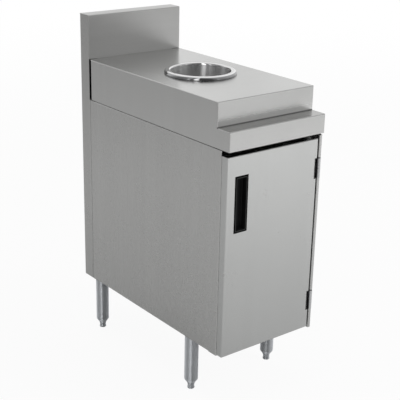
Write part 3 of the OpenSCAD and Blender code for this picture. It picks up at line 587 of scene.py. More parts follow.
def mill_sheet(name, direction):
    """Cold-rolled steel with a cloudy surface. direction is the axis of the rolling lines."""
    made, tree, shader, place = new_material(name, 1.0)
    lines_place = stretched(tree, place["Object"], along(direction, ROLLING_LINES))
    rolled = place_group(tree, grain, {"Place": lines_place, "Lines": 700.0, "Bands": 45.0})
    touch = place_group(tree, marks, {"Place": place["Object"], "Size": 14.0})
    edge = place_group(tree, wear, {"Place": place["Object"], "Reach": THIN_REACH})["Mask"]
    cloud = noise(tree, place["Object"], 35.0, 5, 0.65)
    half_cloud = calculate(tree, "MULTIPLY", cloud, 0.5)
    tone = calculate(tree, "MULTIPLY_ADD", rolled["Bands"], 0.5, half_cloud)
    base = varied(tree, ramp(tree, tone, 0.3, 0.7), MILL_STEEL, 0.86, 1.08)
    feed(tree, shader, {"Base Color": veil(tree, touch["Haze"], 0.4, base, SCUFFED_STEEL),
                        "Roughness": ramp(tree, tone, 0.3, 0.7, 0.36, 0.5)})
    relief(tree, shader, (rolled["Lines"], 0.008 * MM), (cloud, 0.03 * MM), (edge, -0.02 * MM))
    return made


mill_along_x = mill_sheet("steel_mill_across", 0)
mill_along_z = mill_sheet("steel_mill_upright", 2)
print("mill sheets:", mill_along_x.name, mill_along_z.name)

# %% [markdown]
# ### Polished tube, mirror chute
# Legs and feet are drawn tube, polished on a lathe: fine rings run round them, so their lines are
# stretched flat and follow the height. The chute's rim is buffed to a mirror. What is left there are
# the faintest rings and a few wipe marks. A darker copy of the mirror is a painted shade on the roll's
# outer edge. The bore stays as spun, and dull. The hinges' knuckles are polished, and their leaves
# get a near-black steel, a painted shade.
# %% Materials polished and mirror
RINGS_FLAT = (0.02, 0.02, 1)


def turned_steel(name, colour, roughness, ring_depth, rings, across_rings):
    """Polished steel with rings round an upright axis: the pattern changes with the height only.

    Its reflections spread across the rings, up and down, so an upright tube shows upright bands."""
    made, tree, shader, place = new_material(name, 1.0)
    rings_place = stretched(tree, place["Object"], RINGS_FLAT)
    spun = place_group(tree, grain, {"Place": rings_place, "Lines": rings, "Bands": 70.0})
    touch = place_group(tree, marks, {"Place": place["Object"], "Size": 18.0})
    base = varied(tree, spun["Bands"], colour, 0.95, 1.04)
    spread = calculate(tree, "MULTIPLY_ADD", spun["Lines"], 0.5 * roughness, 0.75 * roughness)
    spread = calculate(tree, "MULTIPLY_ADD", touch["Haze"], 0.6 * roughness, spread)
    dulled = veil(tree, touch["Haze"], 0.3, base, [0.86 * c for c in colour])
    upwards = add(tree, "CombineXYZ", {2: 1.0}).outputs[0]
    feed(tree, shader, {"Base Color": dulled, "Roughness": spread, "Tangent": upwards,
                        "Anisotropic": across_rings})
    relief(tree, shader, (spun["Lines"], ring_depth), (spun["Scratches"], -ring_depth))
    return made


# Name: colour, roughness, depth of the rings, rings to the metre, spread across the rings.
TURNED = {
    "steel_polished_tube": ((0.91, 0.935, 0.965), 0.56, 0.003 * MM, 900.0, 1.0),
    "steel_polished_hinge": ((0.66, 0.665, 0.67), 0.26, 0.003 * MM, 900.0, 0.3),
    # The leaves' near-black steel is a painted shade.
    "steel_leaf_painted_shade": ((0.09, 0.09, 0.095), 0.4, 0.004 * MM, 900.0, 0.3),
    "steel_mirror": ((0.80, 0.80, 0.80), 0.06, 0.001 * MM, 420.0, 0.9),
    # A darker copy of the mirror: a painted shade on the roll's outer edge.
    "steel_mirror_painted_shade": ((0.40, 0.40, 0.405), 0.05, 0.001 * MM, 420.0, 0.9),
    "steel_spun_bore": ((0.86, 0.86, 0.86), 0.32, 0.002 * MM, 500.0, 1.0),
}
tube_steel, hinge_steel, painted_shade_leaf, mirror_steel, painted_shade_mirror, bore_steel = (
    turned_steel(name, *look) for name, look in TURNED.items())
print("turned steels:", list(TURNED))

# %% [markdown]
# ### Zinc, ferrite
# Bolts, rivets and leg sockets are zinc plated: bluish, cloudy, with a slight yellow where the
# passivation ran together. The magnet is pressed black powder, rough and faintly speckled.
# %% Materials zinc and ferrite
ZINC_DARK = (0.42, 0.44, 0.47)
ZINC_PALE = (0.56, 0.575, 0.60)
PASSIVATED = (0.55, 0.53, 0.44)
FERRITE_DARK = (0.012, 0.012, 0.013)
FERRITE_PALE = (0.035, 0.034, 0.034)
zinc, tree, shader, place = new_material("zinc_plate", 1.0)
cloud = noise(tree, place["Object"], 180.0, 4, 0.6, 0.5)
pooled = ramp(tree, noise(tree, place["Object"], 60.0, 3), 0.5, 0.7)
edge = place_group(tree, wear, {"Place": place["Object"], "Reach": THIN_REACH})["Mask"]
feed(tree, shader, {
    "Base Color": veil(tree, pooled, 0.5, mix(tree, cloud, ZINC_DARK, ZINC_PALE), PASSIVATED),
    "Roughness": ramp(tree, cloud, 0.3, 0.7, 0.28, 0.46)})
relief(tree, shader, (cloud, 0.02 * MM), (edge, -0.01 * MM))

ferrite, tree, shader, place = new_material("ferrite_black", 0.0)
powder = place_group(tree, pebbles, {"Place": place["Object"], "Pebbles": 2200.0})
feed(tree, shader, {
    "Base Color": mix(tree, powder["Cloud"], FERRITE_DARK, FERRITE_PALE),
    "Roughness": ramp(tree, powder["Cloud"], 0.3, 0.7, 0.5, 0.7)})
relief(tree, shader, (powder["Height"], 0.03 * MM))
print("fastener finishes:", zinc.name, ferrite.name)

# %% [markdown]
# ### Moulded plastics
# The handle is black plastic with a fine satin grain: its frame is the dullest, the bead round the
# tray is glossier and painted paler, a painted highlight, and the tray lies between. The bin and the
# catch are a coarser dark grey. Their edges are rubbed paler, and the bin has long scuffs from being
# pulled over the floor pan.
# %% Materials plastics
LONG_SCUFFS = 0.03
RUBBED_REACH = 0.9 * MM


def moulded(name, colour, pale, roughness, pebble_scale, depth, scuff, gloss):
    """Moulded plastic: a pebbled skin, paler rubbed edges and, where wanted, upright scuffs."""
    made, tree, shader, place = new_material(name, 0.0)
    skin = place_group(tree, pebbles, {"Place": place["Object"], "Pebbles": pebble_scale})
    edge = place_group(tree, wear, {"Place": place["Object"], "Reach": RUBBED_REACH})["Mask"]
    scuffs_place = stretched(tree, place["Object"], along(2, LONG_SCUFFS))
    rubs = place_group(tree, grain, {"Place": scuffs_place, "Lines": 260.0, "Bands": 40.0})
    base = varied(tree, ramp(tree, skin["Cloud"], 0.35, 0.65), colour, 0.85, 1.15)
    rubbed_and_painted_light = veil(tree, rubs["Scratches"], scuff, base, pale)
    spread = ramp(tree, skin["Cloud"], 0.3, 0.7, roughness - 0.05, roughness + 0.07)
    feed(tree, shader, {"Base Color": veil(tree, edge, 0.6, rubbed_and_painted_light, pale), "Roughness": spread,
                        "Specular IOR Level": gloss})
    relief(tree, shader, (skin["Height"], depth), (rubs["Scratches"], -0.01 * MM))
    return made


# Name: colour, rubbed colour, roughness, pebbles to the metre and their depth, scuffs, gloss.
PLASTICS = {
    "plastic_black_frame": ((0.0015, 0.0015, 0.0016), (0.004, 0.004, 0.004),
                            0.5, 1800.0, 0.015 * MM, 0.0, 0.04),
    # The bead's paler colour is a painted highlight; its gloss is real.
    "plastic_black_bead_painted_highlight": ((0.02, 0.022, 0.021), (0.03, 0.03, 0.03), 0.4, 1800.0, 0.01 * MM, 0.0, 0.4),
    "plastic_black_tray": ((0.009, 0.0095, 0.0095), (0.02, 0.02, 0.021),
                           0.42, 1800.0, 0.015 * MM, 0.0, 0.1),
    "plastic_grey_grained": ((0.075, 0.08, 0.085), (0.17, 0.175, 0.18),
                             0.5, 900.0, 0.06 * MM, 0.5, 0.4),
    "plastic_grey_catch": ((0.10, 0.105, 0.11), (0.2, 0.2, 0.2), 0.45, 1600.0, 0.03 * MM, 0.0, 0.4),
}
frame_plastic, bead_painted_highlight, tray_plastic, bin_plastic, catch_plastic = (
    moulded(name, *look) for name, look in PLASTICS.items())
print("plastics:", list(PLASTICS))

# %% [markdown]
# ## The worktop
# On the real cabinet one sheet is folded into top, riser, ledge, ledge front and lip, and two end
# plates are welded in and ground until no joint shows. So the visible worktop is one shell. It could
# be cut out of a block, but it is simpler to write its flat faces down, share their corners, round
# all folds and ground corners with one bevel, and then give the whole shell the sheet's thickness.
# The top has a round hole, and a face can't have one, so two faces meet on the middle line. Where
# the inner fold runs out at a welded end, the bevel turns the corner by an arc: with a sharp miter
# the wall's inner point would be pushed out through the side.
# %% Sizes of the worktop
worktop_low, worktop_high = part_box("worktop")
end_low, end_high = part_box("worktop_end_left")
chute_low, chute_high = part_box("chute")
HALF_WIDTH = worktop_high.x
FRONT = worktop_low.y
TOP = worktop_high.z
APRON = worktop_low.z
REAR_PLAY = 0.9 * MM
FLANGE_DOWN = 4 * MM
DROP = 62 * MM
LEDGE_DEPTH = 46 * MM
LEDGE = TOP - DROP
RISER = FRONT + LEDGE_DEPTH
REAR_END = end_high.y
REAR_JOIN = worktop_high.y - REAR_PLAY
FLANGE = end_high.x - end_low.x
LIP = 22 * MM
LIP_HEM = 10 * MM
SHEET = 1.6 * MM
HEM_PLAY = 0.4 * MM
SEAM = 0.8 * MM
FLANGE_START = FRONT + LIP + SEAM
TAIL = 25 * MM
TAIL_INSET = 2.6 * MM
FLANGE_TOP = TOP - FLANGE_DOWN
FOLD = 2.0 * MM
INNER_FOLD = 0.5 * MM
CHUTE_Y = (chute_low.y + chute_high.y) / 2
CHUTE_HOLE = 80.1 * MM
print("worktop", round(2 * HALF_WIDTH, 3), "by", round(REAR_END - FRONT, 3), "with a drop of", DROP)

# %% Worktop shell


def flat_faces(name, faces):
    """A mesh object from flat faces, each a list of corner points. Equal corners are shared."""
    corners = np.vstack([np.asarray(face, float) for face in faces])
    points, index = np.unique(corners.round(7), axis=0, return_inverse=True)
    ends = np.cumsum([len(face) for face in faces])
    return add_object(name, points, np.split(index.ravel(), ends[:-1]))


def across(y0, z0, y1, z1, half=HALF_WIDTH):
    """A rectangle that runs across the cabinet from one height and depth to another."""
    return [(-half, y0, z0), (half, y0, z0), (half, y1, z1), (-half, y1, z1)]


def split_edge(face, start):
    """The face with one more corner, on the middle line of the edge after corner number start."""
    return face[:start + 1] + [(0, *face[start][1:])] + face[start + 1:]


inner = HALF_WIDTH - SHEET - HEM_PLAY
lip_end = FRONT + LIP
tail_x = HALF_WIDTH - TAIL_INSET
lip = [(-HALF_WIDTH, FRONT, APRON), (-HALF_WIDTH, lip_end, APRON), (-inner, lip_end, APRON),
       (inner, lip_end, APRON), (HALF_WIDTH, lip_end, APRON), (HALF_WIDTH, FRONT, APRON)]
worktop_faces = [
    across(FRONT, APRON, FRONT, LEDGE),
    across(FRONT, LEDGE, RISER, LEDGE),
    split_edge(across(RISER, LEDGE, RISER, TOP), 2),
    lip,
    across(lip_end, APRON, lip_end, APRON + LIP_HEM, inner),
    split_edge(across(REAR_JOIN, TOP, REAR_JOIN, TOP - TAIL, tail_x), 0),
]
turn = np.linspace(math.pi / 2, -math.pi / 2, 49)
for side in (-1, 1):
    edge_x = side * HALF_WIDTH
    flange_x = side * (HALF_WIDTH - FLANGE)
    rim = np.stack([side * CHUTE_HOLE * np.cos(turn), CHUTE_Y + CHUTE_HOLE * np.sin(turn),
                    np.full_like(turn, TOP)], axis=-1)
    rim[[0, -1], 0] = 0
    half_top = [(0, RISER, TOP), (edge_x, RISER, TOP), (edge_x, REAR_END, TOP),
                (side * tail_x, REAR_END, TOP), (side * tail_x, REAR_JOIN, TOP), (0, REAR_JOIN, TOP)]
    end = [(FRONT, APRON), (FRONT, LEDGE), (RISER, LEDGE), (RISER, TOP), (REAR_END, TOP),
           (REAR_END, FLANGE_TOP), (REAR_END, APRON), (FLANGE_START, APRON), (lip_end, APRON)]
    worktop_faces += [
        half_top + rim.tolist(),
        [(edge_x, y, z) for y, z in end],
        [(edge_x, FLANGE_START, APRON), (edge_x, REAR_END, APRON),
         (flange_x, REAR_END, APRON), (flange_x, FLANGE_START, APRON)],
        [(edge_x, REAR_END, APRON), (edge_x, REAR_END, FLANGE_TOP),
         (flange_x, REAR_END, FLANGE_TOP), (flange_x, REAR_END, APRON)],
    ]
worktop = flat_faces("worktop_shell", worktop_faces)


def turn_outwards(mesh):
    """Makes an open shell's faces agree, with the highest of them looking up.

    Each folded edge gets its share of the full fold: the inner fold between riser and ledge was
    pressed against the sharp edge of the tool, so its share is small."""
    work = bmesh.new()
    work.from_mesh(mesh)
    bmesh.ops.recalc_face_normals(work, faces=work.faces)
    highest = max(work.faces, key=lambda face: (face.calc_center_median().z, face.calc_area()))
    if highest.normal.z < 0:
        bmesh.ops.reverse_faces(work, faces=work.faces)
    share = work.edges.layers.float.new("bevel_weight_edge")
    inner_line = Vector((0, RISER, LEDGE))
    for edge in work.edges:
        folded = edge.calc_face_angle(0) > SHARP
        inner = all((corner.co - inner_line).yz.length < SEAM for corner in edge.verts)
        edge[share] = folded * (INNER_FOLD / FOLD if inner else 1.0)
    work.to_mesh(mesh)
    work.free()
    mesh.shade_smooth()


turn_outwards(worktop.data)
edge_stack(worktop, FOLD, 3, SHEET)
fold_bevel = worktop.modifiers["broken_edges"]
fold_bevel.limit_method = "WEIGHT"
fold_bevel.miter_outer = "MITER_ARC"
finish_piece(worktop, "cabinet", "brushed_stainless", worktop_steel,
             "worktop", "worktop_end_left", "worktop_end_right")
print("worktop shell of", len(worktop.data.polygons), "flat faces")

# %% [markdown]
# At the inner fold between riser and ledge the worktop gets painted light and shade. A thin dark
# line along the fold is a painted shade. The foot of the riser is painted paler, a painted light,
# and is also made a little rougher. The ledge is painted darker, a painted shade. All three follow
# the distance from the fold, so they are masks on Object coordinates.
# %% Painted shade and light at the fold
CREASE = 3.2 * MM
# Colours of the painted shade and the painted light at the fold.
CREASE_PAINTED_SHADE = (0.27, 0.27, 0.27)
PAINTED_LIGHT_HEIGHT = 30 * MM
FOOT_ROUGHNESS = 0.12
FOOT_PAINTED_LIGHT = (0.84, 0.84, 0.83)
LEDGE_PAINTED_SHADE = (0.47, 0.47, 0.462)
tree = worktop_steel.node_tree
shader = tree.nodes["Principled BSDF"]
brushed, spread = (shader.inputs[name].links[0].from_socket for name in ("Base Color", "Roughness"))
place = add(tree, "TexCoord").outputs
from_fold = vectors(tree, "SUBTRACT", place["Object"], (0, RISER, LEDGE))
height = part(tree, from_fold, 2)
distance = vectors(tree, "LENGTH", vectors(tree, "MULTIPLY", from_fold, (0, 1, 1)))
# Painted shade: a dark line along the inner fold.
crease_painted_shade = ramp(tree, distance, CREASE * 0.3, CREASE, 1.0, 0.0)
facing = ramp(tree, part(tree, place["Normal"], 1), -0.9, -0.5, 1.0, 0.0)
level = ramp(tree, part(tree, place["Normal"], 2), 0.7, 0.98)
above = calculate(tree, "GREATER_THAN", height, 0.0)
low_down = calculate(tree, "LESS_THAN", height, FOLD)
# Painted light: the riser's foot is paler; the same mask makes it rougher.
rubbed_and_painted_light = calculate(tree, "MULTIPLY", ramp(tree, height, 0.0, PAINTED_LIGHT_HEIGHT, 1.0, 0.0), facing)
rubbed_and_painted_light = calculate(tree, "MULTIPLY", rubbed_and_painted_light, above)
painted_light_base = mix(tree, rubbed_and_painted_light, brushed, FOOT_PAINTED_LIGHT)
# Painted shade: the upward faces of the ledge are darker.
painted_shade_ledge = veil(tree, low_down, level, painted_light_base, LEDGE_PAINTED_SHADE)
feed(tree, shader, {"Base Color": mix(tree, crease_painted_shade, painted_shade_ledge, CREASE_PAINTED_SHADE),
                    "Roughness": calculate(tree, "MULTIPLY_ADD", rubbed_and_painted_light, FOOT_ROUGHNESS, spread)})
print("crease_painted_shade", round(1000 * CREASE, 1), "mm wide")

# %% [markdown]
# ## The chute
# The chute is a spun tube. Its top is rolled outwards into a rim that rests on the worktop and is
# buffed to a mirror. A mirror shows every facet, so the profile is a smooth curve with many points,
# and it is spun with nearly 200 steps. The rim's outer part is a quarter of an ellipse with a full
# shoulder, and its edge curls under a little, which leaves the thin dark line round its foot. The
# last millimetres of the roll, down to the worktop, get a darker copy of the mirror: a painted shade.
# %% Chute
CHUTE_TURNS = 192
BORE = 78 * MM
CHUTE_WALL = 1.5 * MM
CROWN = BORE + 4.2 * MM
INNER_ROLL = 5 * MM
FULLNESS = 2 / 2.5
EDGE_LIFT = 0.9 * MM
PAINTED_SHADE_ROLL = 3.6 * MM
BUFFED_DOWN = 2 * MM
rim_outer = (chute_high.x - chute_low.x) / 2
s = np.linspace(0, 1, 22)[:, None] * math.pi / 2
inner_roll = np.hstack([CROWN - (CROWN - BORE) * np.cos(s), chute_high.z + INNER_ROLL * (np.sin(s) - 1)])
outer_roll = np.hstack([CROWN + (rim_outer - CROWN) * np.sin(s) ** FULLNESS,
                        TOP + EDGE_LIFT + (chute_high.z - TOP - EDGE_LIFT) * np.cos(s) ** FULLNESS])
curl = beside((rim_outer, TOP), (-0.5, 0.35), (-1.6, 0.15), (-2.4, 1.4))
outer_wall = beside((BORE, TOP), (3, 3.5), (1.5, 0.5))
foot = beside((BORE, chute_low.z), (1.5, 1.2), (1.05, 0.2), (0.45, 0), (0, 0.5), (0, 25))
inner_wall = beside((BORE, TOP), (0, -20))
profile = np.vstack([inner_roll, outer_roll[1:], curl, outer_wall, foot, inner_wall])
chute = lathe("chute_spun", profile, (0, CHUTE_Y), CHUTE_TURNS, 60, closed=True)
finish_piece(chute, "chute", "mirror_stainless", mirror_steel, "chute")
centres = face_centres(chute)
from_axis = np.hypot(centres[:, 0], centres[:, 1] - CHUTE_Y)
in_bore = (centres[:, 2] < TOP + BUFFED_DOWN) & (from_axis < BORE + 2 * CHUTE_WALL)
# The roll's outer edge gets the darker mirror: a painted shade.
painted_shade_faces = from_axis > rim_outer - PAINTED_SHADE_ROLL
paint_faces(chute, in_bore + 2 * painted_shade_faces, bore_steel, painted_shade_mirror)
print("chute rim", round(2000 * rim_outer, 1), "mm across,", len(chute.data.polygons), "faces")

# %% [markdown]
# ## Legs and feet
# Each leg is a polished tube whose lower end is spun down to a neck, with soft shoulders, and a foot
# screws into that neck. The profile is drawn once and spun at four places. The tube is open at its
# lower end, so the profile turns in and goes back up inside, and the foot stands in that bore.
# %% Legs and feet
corners = ["front_left", "front_right", "back_left", "back_right"]
NECK_WALL = 1.3 * MM
PLAY = 0.1 * MM
GROOVE_DOWN = 3.2 * MM
TUBE_TURNS = 64
LEG_RADII = MM * np.array([6, 2.5, 0.5])
FOOT_RADII = MM * np.array([0.6, 0.8, 0.5, 0.5, 0.5, 0.4, 0.3, 0.5])
for corner in corners:
    leg_low, leg_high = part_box("leg_" + corner)
    foot_low, foot_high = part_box("foot_" + corner)
    middle = (leg_low + leg_high) / 2
    tube = (leg_high.x - leg_low.x) / 2
    pad = (foot_high.x - foot_low.x) / 2
    outside = np.vstack([[(tube, leg_high.z)], beside((tube, leg_low.z), (0, 11.5)),
                         beside((pad + NECK_WALL, leg_low.z), (0, 1.5), (0, 0)),
                         [(pad + PLAY, leg_low.z)]])
    inside = np.vstack([beside((pad + PLAY, leg_low.z), (0, 18)),
                        beside((tube, leg_low.z), (-1.5, 18)), beside((tube, leg_high.z), (-1.5, 0))])
    leg = lathe("leg_tube_" + corner, np.vstack([rounded(outside, LEG_RADII), inside]), middle,
                TUBE_TURNS, 50, closed=True)
    finish_piece(leg, "cabinet", "polished_stainless", tube_steel, "leg_" + corner)
    outline = np.vstack([[(0, foot_low.z)],
                         beside((pad, foot_low.z), (-1, 0), (0, 1.6), (0, 4), (-0.9, 5)),
                         beside((pad, leg_low.z - GROOVE_DOWN), (-0.9, -0.8), (-0.05, 0)),
                         beside((pad, foot_high.z), (-0.05, -1), (-1, 0)), [(0, foot_high.z)]])
    foot_piece = lathe("foot_turned_" + corner, rounded(outline, FOOT_RADII, 4), middle,
                       TUBE_TURNS, 50)
    finish_piece(foot_piece, "foot_" + corner, "polished_stainless", tube_steel, "foot_" + corner)
print("legs", round(leg_high.z - leg_low.z, 4), "long on feet", round(2000 * pad, 1), "mm across")

# %% [markdown]
# ## Panels, column and door
# These sheets already have their folds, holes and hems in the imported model. They are dressed: copied,
# merged and given broken edges. Each gets the finish whose lines run the way that it was brushed.
# Where a side panel meets the rear column, a hand-fitted seam is wider than the drawn one, and the
# top of the hinge jamb is snipped, so that the worktop's lip goes over it.
# %% Dressed sheets
REAR_FOLD = 3.5 * MM
WIDER_SEAM = 0.9 * MM
SNIP_DEPTH = 24 * MM
SNIP_HEIGHT = 5 * MM


def open_rear_seam(panel):
    """Moves the panel's rear fold a little to the front, so that the seam to the column shows."""
    places = np.zeros(len(panel.data.vertices) * 3, np.float32)
    panel.data.vertices.foreach_get("co", places)
    depth = places[1::3]
    depth[depth > depth.max() - REAR_FOLD] -= WIDER_SEAM
    panel.data.vertices.foreach_set("co", places)
    panel.data.update()


def snip_jamb(panel):
    """Cuts the panel across behind its jamb and lowers the jamb's top, clear of the worktop's lip."""
    work = bmesh.new()
    work.from_mesh(panel.data)
    cut = min(vertex.co.y for vertex in work.verts) + SNIP_DEPTH
    top = max(vertex.co.z for vertex in work.verts)
    everything = work.verts[:] + work.edges[:] + work.faces[:]
    bmesh.ops.bisect_plane(work, geom=everything, plane_co=(0, cut, 0), plane_no=(0, 1, 0))
    for vertex in work.verts:
        if vertex.co.y < cut - SEAM and vertex.co.z > top - SNIP_HEIGHT:
            vertex.co.z -= SNIP_HEIGHT
    work.to_mesh(panel.data)
    work.free()


SHEETS = [
    ("cabinet", "brushed_stainless", splash_steel, ["backsplash"]),
    ("cabinet", "brushed_stainless", column_steel, ["rear_casing"]),
    ("cabinet", "brushed_stainless", upright_steel, ["left_side_panel", "right_side_panel"]),
    ("door", "brushed_stainless", door_steel, ["door_skin"]),
    ("cabinet", "satin_stainless", mill_along_x,
     ["front_header", "front_sill", "floor_pan", "leg_channel_front", "leg_channel_rear",
      "worktop_brace_front", "worktop_brace_rear"]),
    ("door", "satin_stainless", mill_along_z, ["door_liner", "door_stiffener"]),
]
for body, slot, material, nodes in SHEETS:
    for node in nodes:
        sheet = finish_piece(dressed_copy(node), body, slot, material, node)
        if "side_panel" in node:
            open_rear_seam(sheet)
        if node == "right_side_panel":
            snip_jamb(sheet)
print("dressed", sum(len(nodes) for *_, nodes in SHEETS), "sheets")

# %% [markdown]
# ## The handle
# The handle is a plastic cup pressed into a slot in the door. Seen from outside it is a narrow frame
# with a deep tray inside. It is one closed skin of rings: each ring is a rounded rectangle with its
# own inset and depth, from the frame's foot on the door, over the frame and up a slope to a raised
# bead, down the steep walls to the floor of the tray, and back along the outside of the cup. The
# slope is glossier and painted paler, a painted highlight, and it draws a thin line on the side that
# is turned to the light.
# %% Handle
BEZEL = 3.8 * MM
SLOPE = 1.6 * MM
BEAD = 0.5 * MM
CREST = BEZEL + SLOPE + BEAD
CUP_WALL = 2 * MM
handle_low, handle_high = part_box("handle_cup")
handle_size = (handle_high - handle_low) / 2
handle_middle = (handle_high + handle_low) / 2
door_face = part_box("door_skin")[0].y
frame_face = (door_face + handle_low.y) / 2
tray = handle_high.y - CUP_WALL
front_rings = np.vstack([
    beside((0, door_face, 0), (0, 0, 1.5)),
    beside((0, frame_face, 0), (0, 0.4, 1.5), (0.15, 0.1, 1.5), (0.5, 0, 1.5)),
    beside((BEZEL, frame_face, 0), (0, 0, 1.5)),
    beside((BEZEL + SLOPE, handle_low.y, 0), (0, 0, 1.5)),
    beside((CREST, handle_low.y, 0), (0, 0, 1.5), (0.3, 0.5, 1.5)),
    beside((CREST, tray, 0), (0.5, -2.2, 1.6), (0.8, -0.8, 1.8), (1.8, 0, 2.4), (5, 0, 3)),
])
back_rings = np.vstack([
    beside((BEZEL, door_face, 0), (-1.8, 0, 1.8)),
    beside((BEZEL, handle_high.y, 0), (-1.8, -0.5, 2.2), (-1.4, 0, 2.4)),
])
cup_rings = np.vstack([front_rings[::-1], back_rings])
cup = surface("handle_moulded", ring_grid(cup_rings, handle_middle, handle_size, 1, 6), 35, caps=True)
finish_piece(cup, "door", "black_plastic", frame_plastic, "handle_cup")
from_middle = np.abs(face_centres(cup) - np.array(handle_middle))
inset = np.minimum(handle_size.x - from_middle[:, 0], handle_size.z - from_middle[:, 2])
# The slope gets the paler bead plastic: a painted highlight.
paint_faces(cup, 1 * (inset > BEZEL) + (inset > BEZEL + SLOPE), bead_painted_highlight, tray_plastic)
print("handle", [round(2000 * v, 1) for v in (handle_size.x, handle_size.z)], "mm,",
      "standing", round(1000 * (door_face - handle_low.y), 1))

# %% [markdown]
# ## Hinges, catch and fasteners
# These small parts keep the imported shapes, with tiny broken edges where they show. A hinge's
# knuckles are polished, and its flat leaves and the strips under them get a near-black steel, a
# painted shade.
# %% Hinges and catch
KNUCKLE = 5 * MM
LEAF_EDGE = 0.12 * MM
PIN_EDGE = 0.2 * MM
HINGE_PARTS = {"_frame_leaf": ("cabinet", LEAF_EDGE), "_door_leaf": ("door", LEAF_EDGE),
               "_pin": ("cabinet", PIN_EDGE)}
for hinge in ("upper_hinge", "lower_hinge"):
    pin_low, pin_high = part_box(hinge + "_pin")
    axis = np.array(pin_low + pin_high) / 2
    for ending, (body, edge_width) in HINGE_PARTS.items():
        node = hinge + ending
        piece = dressed_copy(node, edge_width)
        finish_piece(piece, body, "polished_stainless", hinge_steel, node)
        # Leaf faces away from the knuckle get the near-black steel: a painted shade.
        if "leaf" in node:
            from_pin = (face_centres(piece) - axis)[:, :2]
            paint_faces(piece, np.hypot(*from_pin.T) > KNUCKLE, painted_shade_leaf)
CATCH_PARTS = [("catch_case", 0.4 * MM, 3, "cabinet", "grey_plastic", catch_plastic),
               ("catch_magnet", 0.2 * MM, 2, "cabinet", "ferrite", ferrite),
               ("strike_plate", 0.3 * MM, 2, "door", "zinc_steel", zinc)]
for node, edge_width, segments, body, slot, material in CATCH_PARTS:
    finish_piece(dressed_copy(node, edge_width, segments), body, slot, material, node)
print("knuckles and pins", round(2000 * KNUCKLE), "mm across stay polished")

# %% [markdown]
# The hinge screws show when the door is open. Each has a sunk head with a cross-shaped recess for the
# driver. The head is a disc on a polar grid, whose depth is a function of the place: deep where a
# point lies within either arm of the cross. The rows of the grid then run on down the cone and the
# shank, so that one closed skin makes the whole screw.
# %% Hinge screws
SHANK = 2 * MM
ARM_WIDTH = 0.17
ARM_LENGTH = 0.66
ARM_SLOPE = 0.06
END_SLOPE = 0.14
RECESS = 1.0 * MM
POINT = 0.4 * MM


def cross_recess(radius, turn, head):
    """Depth of the driver's cross at a radius and turn on a head, in metres.

    The smaller distance to the two middle lines says whether a point lies in an arm, and the larger
    one how far out along it. The depth grows from 0 at the outline over a short sloping wall."""
    aside = np.abs(radius * np.cos(turn)) / head, np.abs(radius * np.sin(turn)) / head
    inside = (ARM_WIDTH - np.minimum(*aside)) / ARM_SLOPE
    along_arm = (ARM_LENGTH - np.maximum(*aside)) / END_SLOPE
    return RECESS * np.clip(inside, 0, 1) * np.clip(along_arm, 0, 1)


def hinge_screw(name, node, z, inward, body):
    """One sunk screw along X. Its head faces away from inward, which is 1 for +X and -1 for -X."""
    low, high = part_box(node)
    head = (high.y - low.y) / 2
    length = high.x - low.x
    face = low.x if inward > 0 else high.x
    turn = np.linspace(0, 2 * math.pi, 72, endpoint=False)
    disc = np.linspace(0, head, 25)[:, None]
    shank = np.array([(SHANK, head - SHANK), (SHANK, length - POINT), (SHANK - POINT, length),
                      (0, length)])
    radius = np.vstack([disc, shank[:, :1]]) + np.zeros_like(turn)
    depth = np.vstack([cross_recess(disc, turn, head), shank[:, 1:] + np.zeros_like(turn)])
    grid = np.stack([face + inward * depth, (low.y + high.y) / 2 + radius * np.cos(turn),
                     z + radius * np.sin(turn)], axis=-1)
    finish_piece(surface(name, grid, 30), body, "zinc_steel", zinc, node)


for node, leaf, body, inward in (("frame_hinge_screws", "_hinge_frame_leaf", "cabinet", 1),
                                 ("door_hinge_screws", "_hinge_door_leaf", "door", -1)):
    screws_low, screws_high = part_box(node)
    head = (screws_high.y - screws_low.y) / 2
    lower_low, lower_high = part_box("lower" + leaf)
    pitch = (lower_low.z + lower_high.z) / 2 - screws_low.z - head
    for hinge in ("upper", "lower"):
        leaf_low, leaf_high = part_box(hinge + leaf)
        for side, end in ((-1, "bottom"), (1, "top")):
            height = (leaf_low.z + leaf_high.z) / 2 + side * pitch
            hinge_screw(f"{body}_screw_{hinge}_{end}", node, height, inward, body)
print("hinge screws", round(2000 * head, 2), "mm across, each pair", round(2000 * pitch, 1), "mm apart")

# %% Fasteners and strips
sockets = ["leg_socket_" + corner for corner in corners]
for node in ["worktop_bolts", "worktop_nuts", "casing_rivets", "leg_socket_bolts", "catch_screws",
             "strike_rivets", *sockets, "jamb_strip", "door_hinge_strip"]:
    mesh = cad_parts[node].data
    mesh.materials.clear()
    # The strips get the near-black leaf steel: a painted shade.
    mesh.materials.append(painted_shade_leaf if "strip" in node else zinc)
print("left as packed:", len(sockets), "sockets, fasteners and strips")

